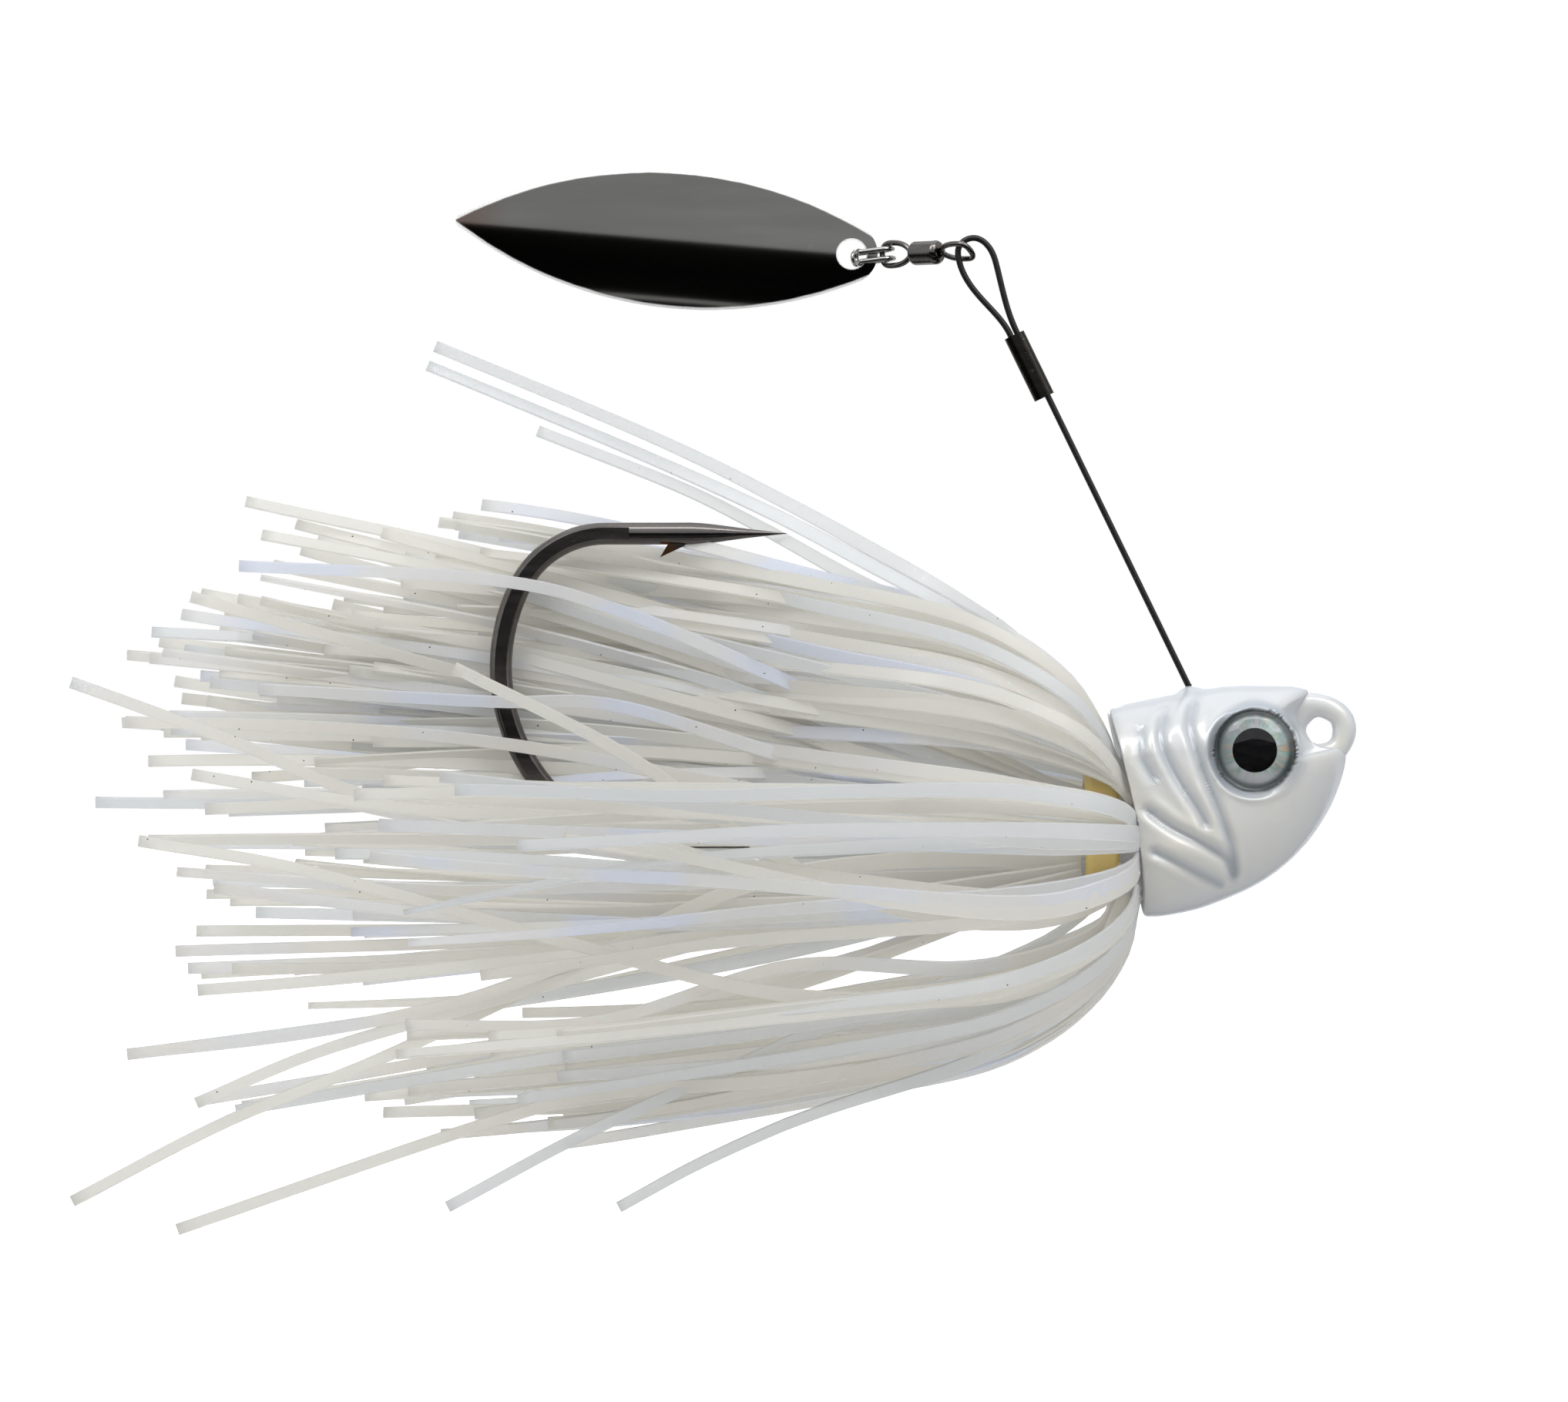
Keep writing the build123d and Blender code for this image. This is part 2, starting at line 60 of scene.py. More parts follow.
def circle_through(a, b, c):
    """Centre and radius of the circle through three points."""
    m = np.array([[b[0] - a[0], b[1] - a[1]], [c[0] - a[0], c[1] - a[1]]]) * 2.0
    rhs = [b[0] ** 2 + b[1] ** 2 - a[0] ** 2 - a[1] ** 2, c[0] ** 2 + c[1] ** 2 - a[0] ** 2 - a[1] ** 2]
    centre = np.linalg.solve(m, rhs)
    return float(centre[0]), float(centre[1]), float(np.hypot(*(centre - np.array(a))))


SIDE_ARC = circle_through((-0.75, 1.58), (11.6, 4.3), (24.6, 0.42))  # the blade's upper side


# ------------------------------------------------------------------ mesh helpers


def new_mesh(name, verts, faces, smooth=True):
    """Mesh object from millimetre coordinates."""
    mesh = bpy.data.meshes.new(name)
    mesh.from_pydata((np.asarray(verts, float) * MM).tolist(), [], [tuple(int(i) for i in f) for f in faces])
    mesh.validate()
    mesh.update()
    if smooth:
        mesh.shade_smooth()
    obj = bpy.data.objects.new(name, mesh)
    bpy.context.scene.collection.objects.link(obj)
    return obj


def catmull(points, per=12, closed=False):
    """Smooth curve through the points."""
    p = np.asarray(points, float)
    if closed:
        p = np.vstack([p[-1], p, p[0], p[1]])
    else:
        p = np.vstack([2 * p[0] - p[1], p, 2 * p[-1] - p[-2]])
    out = []
    for i in range(1, len(p) - 2):
        t = np.linspace(0, 1, per, endpoint=False)[:, None]
        a, b, c, d = p[i - 1], p[i], p[i + 1], p[i + 2]
        square, cube = 2 * a - 5 * b + 4 * c - d, 3 * b - a - 3 * c + d
        out.append(0.5 * (2 * b + (c - a) * t + square * t**2 + cube * t**3))
    out = np.vstack(out)
    return out if closed else np.vstack([out, p[-2]])


def resample(line, count):
    """Evenly spaced points along a polyline."""
    line = np.asarray(line, float)
    step = np.linalg.norm(np.diff(line, axis=0), axis=1)
    s = np.concatenate([[0], np.cumsum(step)])
    want = np.linspace(0, s[-1], count)
    return np.stack([np.interp(want, s, line[:, k]) for k in range(line.shape[1])], axis=1)


def clamped_spline(points, start, end, per=14):
    """Smooth curve through the points that leaves along start and arrives along end."""
    p = np.array(points, float)
    h = np.linalg.norm(np.diff(p, axis=0), axis=1)
    n = len(p)
    a, rhs = np.eye(n), np.zeros_like(p)
    rhs[0], rhs[-1] = start, end
    for i in range(1, n - 1):
        a[i, i - 1 : i + 2] = h[i], 2 * (h[i - 1] + h[i]), h[i - 1]
        rhs[i] = 3 * (h[i] * (p[i] - p[i - 1]) / h[i - 1] + h[i - 1] * (p[i + 1] - p[i]) / h[i])
    slope = np.linalg.solve(a, rhs)
    out = [p[:1]]
    for i in range(n - 1):
        t = np.linspace(0, 1, per + 1)[1:, None]
        bend = (t**3 - 2 * t**2 + t) * slope[i] + (t**3 - t**2) * slope[i + 1]
        out.append((2 * t**3 - 3 * t**2 + 1) * p[i] + (3 * t**2 - 2 * t**3) * p[i + 1] + h[i] * bend)
    return np.vstack(out)


def unit(v):
    return v / np.maximum(np.linalg.norm(v, axis=-1, keepdims=True), 1e-9)


def grid_faces(rows, cols, base=0, wrap=True):
    """Quads between successive rings of a tube or sheet."""
    faces = []
    last = cols if wrap else cols - 1
    for r in range(rows - 1):
        for c in range(last):
            n = (c + 1) % cols
            a, b = base + r * cols, base + (r + 1) * cols
            faces.append((a + c, a + n, b + n, b + c))
    return faces


def section_tube(centre, side, up, outline, base):
    """Closed tube whose section outline lies along side and up."""
    rows, cols = len(centre), len(outline)
    rings = centre[:, None, :] + side[:, None, :] * outline[None, :, :1] + up[:, None, :] * outline[None, :, 1:]
    verts = rings.reshape(-1, 3)
    faces = grid_faces(rows, cols, base)
    faces.append(tuple(base + c for c in range(cols))[::-1])
    faces.append(tuple(base + (rows - 1) * cols + c for c in range(cols)))
    return verts, faces


# ------------------------------------------------------------------ material helpers


class Mat:
    """Small node-graph builder round one Principled surface."""

    def __init__(self, name):
        self.m = bpy.data.materials.new(name)
        self.m.use_nodes = True
        self.t = self.m.node_tree
        self.bsdf = self.t.nodes["Principled BSDF"]
        self.out = self.t.nodes["Material Output"]

    def node(self, kind, **props):
        n = self.t.nodes.new(kind)
        for k, v in props.items():
            setattr(n, k, v)
        return n

    def link(self, a, b):
        self.t.links.new(a, b)
        return b

    def set(self, **values):
        for k, v in values.items():
            socket = self.bsdf.inputs[k.replace("_", " ")]
            if hasattr(v, "links") or isinstance(v, bpy.types.NodeSocket):
                self.link(v, socket)
            else:
                socket.default_value = v
        return self

    def coords(self, which="Object"):
        return self.node("ShaderNodeTexCoord").outputs[which]

    def mapping(self, vector, scale=(1, 1, 1), location=(0, 0, 0)):
        n = self.node("ShaderNodeMapping")
        n.inputs["Scale"].default_value = scale
        n.inputs["Location"].default_value = location
        self.link(vector, n.inputs["Vector"])
        return n.outputs["Vector"]

    def noise(self, scale, detail=3.0, vector=None, rough=0.5):
        n = self.node("ShaderNodeTexNoise")
        n.inputs["Scale"].default_value = scale
        n.inputs["Detail"].default_value = detail
        n.inputs["Roughness"].default_value = rough
        self.link(vector or self.coords(), n.inputs["Vector"])
        return n.outputs["Fac"]

    def voronoi(self, scale, vector=None, feature="F1"):
        n = self.node("ShaderNodeTexVoronoi", feature=feature)
        n.inputs["Scale"].default_value = scale
        self.link(vector or self.coords(), n.inputs["Vector"])
        return n

    def ramp(self, fac, stops, mode="LINEAR"):
        n = self.node("ShaderNodeValToRGB")
        n.color_ramp.interpolation = mode
        ramp = n.color_ramp.elements
        while len(ramp) < len(stops):
            ramp.new(0.5)
        for e, (pos, col) in zip(ramp, stops):
            e.position = pos
            e.color = (*col, 1) if len(col) == 3 else col
        self.link(fac, n.inputs["Fac"])
        return n.outputs["Color"]

    def math(self, op, a, b=0.5, clamp=False):
        n = self.node("ShaderNodeMath", operation=op, use_clamp=clamp)
        for i, v in enumerate((a, b)):
            if isinstance(v, bpy.types.NodeSocket):
                self.link(v, n.inputs[i])
            else:
                n.inputs[i].default_value = v
        return n.outputs[0]

    def mix(self, fac, a, b, blend="MIX"):
        n = self.node("ShaderNodeMix", data_type="RGBA", blend_type=blend)
        for i, v in ((0, fac), (6, a), (7, b)):
            if isinstance(v, bpy.types.NodeSocket):
                self.link(v, n.inputs[i])
            elif i == 0:
                n.inputs[i].default_value = v
            else:
                n.inputs[i].default_value = (*v, 1)
        return n.outputs[2]

    def bump(self, height, strength=0.2, distance=0.0001):
        n = self.node("ShaderNodeBump")
        n.inputs["Strength"].default_value = strength
        n.inputs["Distance"].default_value = distance
        self.link(height, n.inputs["Height"])
        self.link(n.outputs["Normal"], self.bsdf.inputs["Normal"])
        return n.outputs["Normal"]

    def attribute(self, name):
        return self.node("ShaderNodeAttribute", attribute_name=name).outputs["Fac"]

    def band(self, value, low, high):
        """0 below low, 1 above high, smooth in between."""
        n = self.node("ShaderNodeMapRange", interpolation_type="SMOOTHSTEP")
        n.inputs["From Min"].default_value = low
        n.inputs["From Max"].default_value = high
        self.link(value, n.inputs["Value"])
        return n.outputs["Result"]


# ------------------------------------------------------------------ materials


def pearl_colour(b):
    """Pearl white: painted shade and sheen, darker and bluer towards the grazing edges; warmer in broad patches
    and towards the bottom.
    """
    facing = b.node("ShaderNodeLayerWeight")
    facing.inputs["Blend"].default_value = 0.40
    place = b.node("ShaderNodeSeparateXYZ")
    b.link(b.coords(), place.inputs[0])
    low = b.math("SUBTRACT", 1.0, b.band(place.outputs["Z"], -0.009, -0.001))
    patch = b.math("ADD", b.band(b.noise(150.0, 2.0), 0.40, 0.66), b.math("MULTIPLY", low, 0.7))
    warm = b.mix(b.math("MINIMUM", patch, 1.0), (0.60, 0.607, 0.60), (0.64, 0.622, 0.568))
    # painted shade and sheen: the colour turns darker and bluer at grazing angles
    return b.mix(facing.outputs["Facing"], warm, (0.47, 0.515, 0.59))


def pearl_paint():
    b = Mat("pearl_paint")
    painted_shade = b.attribute("painted_shade")
    # painted shade: crease bottoms and the eye socket's sides are tinted blue-grey
    colour = b.mix(b.math("MULTIPLY", painted_shade, 0.85), pearl_colour(b), (0.30, 0.34, 0.39))
    flake = b.voronoi(9000.0)
    spark = b.band(flake.outputs["Distance"], 0.05, 0.5)
    b.set(Base_Color=colour, Metallic=0.06, Roughness=0.33, Specular_IOR_Level=0.6)
    b.set(Coat_Weight=0.7, Coat_Roughness=0.08)
    b.bump(b.math("ADD", b.noise(420.0, 3.0), b.math("MULTIPLY", spark, 0.12)), 0.24, 0.00012)
    return b.m


def black_nickel(name, base=(0.105, 0.098, 0.094), rough=0.20, painted=False):
    """Dark plated steel with drawing marks and rubbed spots; the hook adds a rusty barb and the painted eye."""
    b = Mat(name)
    streak = b.noise(1.0, 4.0, b.mapping(b.coords(), (300, 2600, 2600)))
    spots = b.band(b.noise(2600.0, 2.0), 0.62, 0.72)
    streaked = b.mix(streak, base, tuple(c * 1.7 for c in base))
    metal = b.mix(b.math("MULTIPLY", spots, 0.5), streaked, (0.16, 0.13, 0.10))
    rough_map = b.math("ADD", b.math("MULTIPLY", streak, 0.10), rough - 0.04)
    if painted:
        place = b.node("ShaderNodeSeparateXYZ")
        b.link(b.coords(), place.inputs[0])
        barb = b.node("ShaderNodeVectorMath", operation="DISTANCE")
        b.link(b.coords(), barb.inputs[0])
        barb.inputs[1].default_value = (-40.75 * MM, 0.0, 11.25 * MM)
        near = b.math("ADD", barb.outputs["Value"], b.math("MULTIPLY", b.noise(2200.0), 0.0008))
        rust = b.math("SUBTRACT", 1.0, b.band(near, 0.0007, 0.0013))
        metal = b.mix(b.math("MULTIPLY", rust, 0.85), metal, (0.30, 0.13, 0.035))
        ragged = b.math("ADD", place.outputs["X"], b.math("MULTIPLY", b.noise(900.0), 0.0006))
        mask = b.band(ragged, -0.0105, -0.0101)
        colour = b.mix(mask, metal, pearl_colour(b))
        b.set(Base_Color=colour, Metallic=b.math("SUBTRACT", 1.0, b.math("MULTIPLY", mask, 0.94)))
        b.set(Roughness=b.math("ADD", rough_map, b.math("MULTIPLY", mask, 0.18)))
        b.set(Coat_Weight=b.math("MULTIPLY", mask, 0.7))
    else:
        b.set(Base_Color=metal, Metallic=1.0, Roughness=rough_map)
    b.bump(b.math("ADD", streak, b.math("MULTIPLY", spots, -0.6)), 0.10, 0.00003)
    return b.m


def bright_nickel():
    b = Mat("bright_nickel")
    streak = b.noise(1.0, 3.0, b.mapping(b.coords(), (500, 4000, 4000)))
    b.set(Base_Color=b.mix(streak, (0.24, 0.24, 0.235), (0.40, 0.395, 0.385)), Metallic=1.0, Roughness=0.13)
    b.bump(streak, 0.12, 0.00003)
    return b.m


def cable_coat():
    """Black coating through which the lay of the strands shows as faint spiral ribs."""
    b = Mat("cable_coat")
    wave = b.node("ShaderNodeTexWave", wave_type="BANDS", bands_direction="DIAGONAL")
    wave.inputs["Scale"].default_value = 900.0
    wave.inputs["Distortion"].default_value = 0.6
    b.link(b.coords(), wave.inputs["Vector"])
    tone = b.mix(b.noise(1500.0), (0.006, 0.006, 0.006), (0.014, 0.013, 0.013))
    b.set(Base_Color=tone, Roughness=0.34, Specular_IOR_Level=0.35)
    b.bump(wave.outputs["Fac"], 0.12, 0.00003)
    return b.m


def blade_mirror():
    """Black nickel mirror with polishing haze; lighter and less metallic along the stamped rim and round the
    hole.
    """
    b = Mat("blade_mirror")
    turn = math.radians(BLADE_RISE)
    spots = []
    for axis in ((-math.cos(turn), 0, math.sin(turn)), (math.sin(turn), 0, math.cos(turn))):
        dot = b.node("ShaderNodeVectorMath", operation="DOT_PRODUCT")
        b.link(b.mapping(b.coords(), (1000, 1000, 1000), (-BLADE_HOLE[0], 0, -BLADE_HOLE[1])), dot.inputs[0])
        dot.inputs[1].default_value = axis
        spots.append(dot.outputs["Value"])
    u, v = spots

    def reach(cu, cv):
        du, dv = b.math("SUBTRACT", u, cu), b.math("SUBTRACT", v, cv)
        return b.math("SQRT", b.math("ADD", b.math("MULTIPLY", du, du), b.math("MULTIPLY", dv, dv)))

    cu, cv, radius = SIDE_ARC
    inside = b.math("SUBTRACT", radius, b.math("MAXIMUM", reach(cu, cv), reach(cu, -cv)))
    at_hole = b.math("MULTIPLY", b.math("SUBTRACT", reach(0, 0), 0.925), 2.4)
    rim = b.math("MINIMUM", inside, at_hole)
    ragged = b.math("ADD", rim, b.math("MULTIPLY", b.noise(700.0, 3.0), -0.10))
    # lighter, less metallic and rougher in a thin band along the rim and round the hole
    edge = b.math("SUBTRACT", 1.0, b.band(ragged, 0.04, 0.17))
    haze = b.noise(1.0, 5.0, b.mapping(b.coords(), (60, 900, 420)))
    base = b.mix(b.band(haze, 0.35, 0.75), (0.172, 0.170, 0.160), (0.215, 0.212, 0.200))
    warm = b.band(u, 21.0, 24.5)
    base = b.mix(b.math("MULTIPLY", warm, 0.5), base, (0.16, 0.085, 0.06))
    pits = b.band(b.noise(1900.0, 2.0), 0.66, 0.74)
    base = b.mix(b.math("MULTIPLY", pits, b.band(haze, 0.5, 0.7)), base, (0.34, 0.33, 0.31))
    base = b.mix(edge, base, (0.86, 0.86, 0.85))
    b.set(Base_Color=base, Metallic=b.math("SUBTRACT", 1.0, b.math("MULTIPLY", edge, 0.7)))
    rim_roughness = b.math("ADD", b.math("MULTIPLY", edge, 0.25), 0.07)
    b.set(Roughness=b.math("ADD", b.math("MULTIPLY", haze, 0.05), rim_roughness))
    b.bump(b.noise(1.0, 3.0, b.mapping(b.coords(), (90, 700, 260))), 0.10, 0.00006)
    return b.m


def collar_rubber():
    b = Mat("collar_rubber")
    tone = b.mix(b.noise(500.0), (0.66, 0.50, 0.17), (0.80, 0.63, 0.26))
    b.set(Base_Color=tone, Roughness=0.42, Subsurface_Weight=0.35, Subsurface_Scale=0.0012)
    b.bsdf.inputs["Subsurface Radius"].default_value = (1.0, 0.6, 0.2)
    b.bump(b.noise(1800.0, 4.0), 0.18, 0.00008)
    return b.m


def silicone(name, thin, thick, flake, dark, see=0.15, sheen=0.0):
    """Translucent silicone: lit from both sides, partly clear, with flake, dark specks and moulded grain; a
    painted glow, strongest near the fold, brightens the shade inside the bundle, and a painted sheen is added
    where asked.
    """
    b = Mat(name)
    shade = b.attribute("strand")
    along = b.attribute("along")
    colour = b.mix(shade, thin, thick)
    colour = b.mix(b.math("MULTIPLY", b.noise(120.0, 2.0), 0.45), colour, thick)
    # painted sheen: lavender-blue patches and a lavender tint at grazing angles
    if sheen:
        facing = b.node("ShaderNodeLayerWeight")
        facing.inputs["Blend"].default_value = 0.35
        pulse = b.band(b.noise(85.0, 2.0), 0.46, 0.60)
        colour = b.mix(b.math("MULTIPLY", pulse, sheen), colour, (0.76, 0.82, 0.97))
        colour = b.mix(b.math("MULTIPLY", facing.outputs["Facing"], 0.30), colour, (0.80, 0.77, 0.96))
    cell = b.voronoi(3800.0)
    dot = b.math("LESS_THAN", cell.outputs["Distance"], 0.20)
    pick = b.node("ShaderNodeSeparateColor")
    b.link(cell.outputs["Color"], pick.inputs[0])
    patch = b.band(b.noise(150.0, 2.0, b.mapping(b.coords(), location=(3, 1, 2))), 0.50, 0.62)
    is_flake = b.math("MULTIPLY", b.math("MULTIPLY", dot, b.math("LESS_THAN", pick.outputs[0], flake)), patch)
    is_dark = b.math("MULTIPLY", dot, b.math("GREATER_THAN", pick.outputs[1], 1.0 - dark))
    tint = b.mix(pick.outputs[2], (0.66, 0.95, 0.93), (1.0, 0.78, 0.93))
    colour = b.mix(is_flake, colour, tint)
    colour = b.mix(is_dark, colour, (0.05, 0.05, 0.06))
    b.set(Base_Color=colour, Roughness=0.36, Specular_IOR_Level=0.45)
    b.set(Metallic=b.math("MULTIPLY", is_flake, 0.5))
    b.set(Coat_Weight=0.12, Coat_Roughness=0.15, Emission_Color=colour)
    fold_glow = b.math("SUBTRACT", 1.0, b.band(along, 8.0, 42.0))  # painted light: a glow, strongest near the fold, that brightens the shade inside the bundle
    b.set(Emission_Strength=b.math("ADD", b.math("MULTIPLY", fold_glow, 0.12), 0.03))
    grain = b.noise(1.0, 3.0, b.mapping(b.coords(), (160, 2200, 2200)))
    b.bump(b.math("ADD", grain, b.math("MULTIPLY", along, 0.05)), 0.14, 0.00007)
    through = b.node("ShaderNodeBsdfTranslucent")
    b.link(colour, through.inputs["Color"])
    body = b.node("ShaderNodeMixShader")
    body.inputs[0].default_value = 0.48
    b.link(b.bsdf.outputs[0], body.inputs[1])
    b.link(through.outputs[0], body.inputs[2])
    clear = b.node("ShaderNodeBsdfTransparent")
    clear.inputs["Color"].default_value = (0.975, 0.968, 0.945, 1)
    ray = b.node("ShaderNodeLightPath")
    lit = b.math("MAXIMUM", ray.outputs["Is Shadow Ray"], ray.outputs["Is Diffuse Ray"])
    mixer = b.node("ShaderNodeMixShader")
    b.link(b.math("ADD", see, b.math("MULTIPLY", lit, 0.80 - see)), mixer.inputs[0])
    b.link(body.outputs[0], mixer.inputs[1])
    b.link(clear.outputs[0], mixer.inputs[2])
    b.link(mixer.outputs[0], b.out.inputs["Surface"])
    return b.m


def eye_print():
    """Printed holographic foil about the eye's centre: black pupil, bright iris with rays, grey rim; painted
    glints on its facets, a painted reflection whitening its bottom and painted shade on its upper left.
    """
    b = Mat("eye_print")
    place = b.node("ShaderNodeSeparateXYZ")
    b.link(b.coords(), place.inputs[0])
    x, z = place.outputs["X"], place.outputs["Z"]
    squares = b.math("ADD", b.math("MULTIPLY", x, x), b.math("MULTIPLY", z, z))
    r = b.math("MULTIPLY", b.math("SQRT", squares), 1000.0)
    turn = b.math("ARCTAN2", z, x)
    swirl = b.node("ShaderNodeCombineXYZ")
    b.link(b.math("COSINE", turn), swirl.inputs[0])
    b.link(b.math("SINE", turn), swirl.inputs[1])
    b.link(b.math("MULTIPLY", r, 0.12), swirl.inputs[2])
    rays = b.noise(7.0, 4.0, swirl.outputs[0], 0.7)
    facets = b.voronoi(1500.0)
    hue = b.ramp(b.noise(2.3, 2.0, swirl.outputs[0]), [
        (0.30, (0.66, 0.68, 0.72)), (0.44, (0.88, 0.90, 0.93)), (0.55, (0.50, 0.78, 0.68)),
        (0.64, (1.00, 0.76, 0.52)), (0.74, (0.72, 0.70, 0.84)),
    ])
    iris = b.mix(b.math("MULTIPLY", b.band(rays, 0.42, 0.66), 0.45), hue, (0.30, 0.32, 0.35))
    # painted glints: the facets are lightened towards white
    glint = b.math("MULTIPLY", b.band(facets.outputs["Distance"], 0.2, 0.7), 0.35)
    iris = b.mix(glint, iris, (0.97, 0.98, 1.0))
    # painted reflection: the iris turns white towards the bottom
    low = b.math("SUBTRACT", 1.0, b.band(z, -0.0017, -0.0011))
    iris = b.mix(b.math("MULTIPLY", low, 0.85), iris, (0.97, 0.98, 1.0))
    chips = b.voronoi(620.0)
    chip = b.math("MULTIPLY", low, b.math("LESS_THAN", chips.outputs["Distance"], 0.26))
    iris = b.mix(b.math("MULTIPLY", chip, 0.7), iris, (0.34, 0.36, 0.38))
    ring = b.math("MULTIPLY", b.band(r, 1.95, 2.20), b.math("SUBTRACT", 1.0, b.band(r, 2.32, 2.42)))
    iris = b.mix(b.math("MULTIPLY", ring, 0.60), iris, (0.20, 0.25, 0.27))
    # painted shade: the iris darkens towards its upper left
    corner = b.math("SUBTRACT", b.math("MULTIPLY", z, 0.7), b.math("MULTIPLY", x, 0.7))
    iris = b.mix(b.math("MULTIPLY", b.band(corner, 0.0002, 0.0016), 0.50), iris, (0.22, 0.26, 0.28))
    pupil = b.band(r, 1.36, 1.42)
    colour = b.mix(pupil, (0.003, 0.003, 0.004), iris)
    b.set(Base_Color=colour, Metallic=b.math("MULTIPLY", pupil, 0.30), Roughness=0.26)
    b.bump(facets.outputs["Distance"], 0.35, 0.00006)
    return b.m


def eye_clear():
    """Clear resin: sees through, with a sharp shine."""
    b = Mat("eye_clear")
    b.set(Base_Color=(0.9, 0.92, 0.95, 1), Roughness=0.03, Specular_IOR_Level=0.5)
    b.set(Coat_Weight=0.6, Coat_Roughness=0.02)
    b.bump(b.noise(380.0, 2.0), 0.05, 0.00004)
    clear = b.node("ShaderNodeBsdfTransparent")
    glossy = b.node("ShaderNodeBsdfGlossy")
    glossy.inputs["Roughness"].default_value = 0.03
    b.link(b.t.nodes["Bump"].outputs["Normal"], glossy.inputs["Normal"])
    fresnel = b.node("ShaderNodeFresnel")
    fresnel.inputs["IOR"].default_value = 1.5
    mixer = b.node("ShaderNodeMixShader")
    b.link(fresnel.outputs[0], mixer.inputs[0])
    b.link(clear.outputs[0], mixer.inputs[1])
    b.link(glossy.outputs[0], mixer.inputs[2])
    b.link(mixer.outputs[0], b.out.inputs["Surface"])
    return b.m


# ------------------------------------------------------------------ head

EYE = (-4.22, -1.22)
SEAT_Y = 3.05
OUTLINE = [
    (1.62, -1.30), (1.45, -2.70), (0.62, -4.85), (-0.75, -6.95), (-2.40, -8.60), (-4.25, -9.80),
    (-6.67, -10.84), (-8.40, -11.34), (-10.35, -11.62), (-11.05, -11.25), (-11.20, -8.70),
    (-11.50, -5.70), (-11.95, -3.75), (-12.45, -1.60), (-13.15, 0.90), (-12.85, 1.50), (-12.40, 1.74),
    (-9.60, 2.32), (-6.00, 2.86), (-2.40, 2.88), (-1.30, 2.76), (-0.72, 2.50), (-0.86, 2.05), (-1.12, 1.55),
    (-1.26, 0.95), (-1.08, 0.15), (-0.72, -0.50), (-0.10, -0.92), (0.55, -1.00), (1.15, -1.02),
]
CREASES = [
    ([(-7.65, 2.45), (-8.27, 0.67), (-8.14, -0.43), (-7.41, -2.63),
      (-6.43, -5.08), (-5.57, -7.53), (-5.33, -9.6)], 0.30, 0.34),
    ([(-9.61, 1.41), (-10.1, -0.18), (-9.73, -1.65), (-8.88, -3.24),
      (-7.65, -5.08), (-7.04, -6.31)], 0.26, 0.34),
    ([(-11.33, 0.43), (-11.25, -1.65), (-10.35, -3.25)], 0.16, 0.45),
    ([(-11.3, -4.6), (-9.49, -5.94), (-7.41, -7.04), (-5.94, -8.02), (-5.33, -9.37)], 0.32, 0.36),
    ([(-10.96, -7.29), (-9.12, -8.14), (-7.16, -9.12), (-5.94, -9.74)], 0.26, 0.34),
]


STEM = [  # x and radius of the skirt seat and the bait keeper behind it
    (-10.6, 2.40), (-15.3, 2.40), (-15.9, 2.57), (-16.5, 2.57),
    (-17.4, 2.05), (-22.0, 1.55), (-27.9, 1.18), (-28.2, 1.0),
]


def head_relief(x, z):
    """Height of the moulded gill plates at x, z, and how much painted shade each place gets from lying in a
    crease.
    """
    height, painted_shade = np.zeros_like(x), np.zeros_like(x)
    for points, depth, width in CREASES:
        line = catmull(points, 14)
        d = np.full_like(x, 9.0)
        share = np.zeros_like(x)
        for i, (px, pz) in enumerate(line):
            here = np.hypot(x - px, z - pz)
            nearer = here < d
            d[nearer] = here[nearer]
            share[nearer] = i / (len(line) - 1)
        ends = np.clip(np.minimum(share, 1 - share) * 9 + 0.15, 0, 1)
        lip = 0.30 * np.exp(-(((d - 1.9 * width) / width) ** 2))
        height += ends * depth * (lip - np.exp(-((d / width) ** 2)))
        painted_shade += ends * np.exp(-((d / (0.75 * width)) ** 2))
    return height, np.clip(painted_shade, 0, 1)


def rear_edge(z):
    """x of the head's rear edge, which is the same at every slice."""
    heights = [-11.4, -8.7, -5.7, -3.75, -1.6, 0.9, 2.9]
    return np.interp(z, heights, [-11.05, -11.2, -11.5, -11.95, -12.45, -13.15, -13.3])


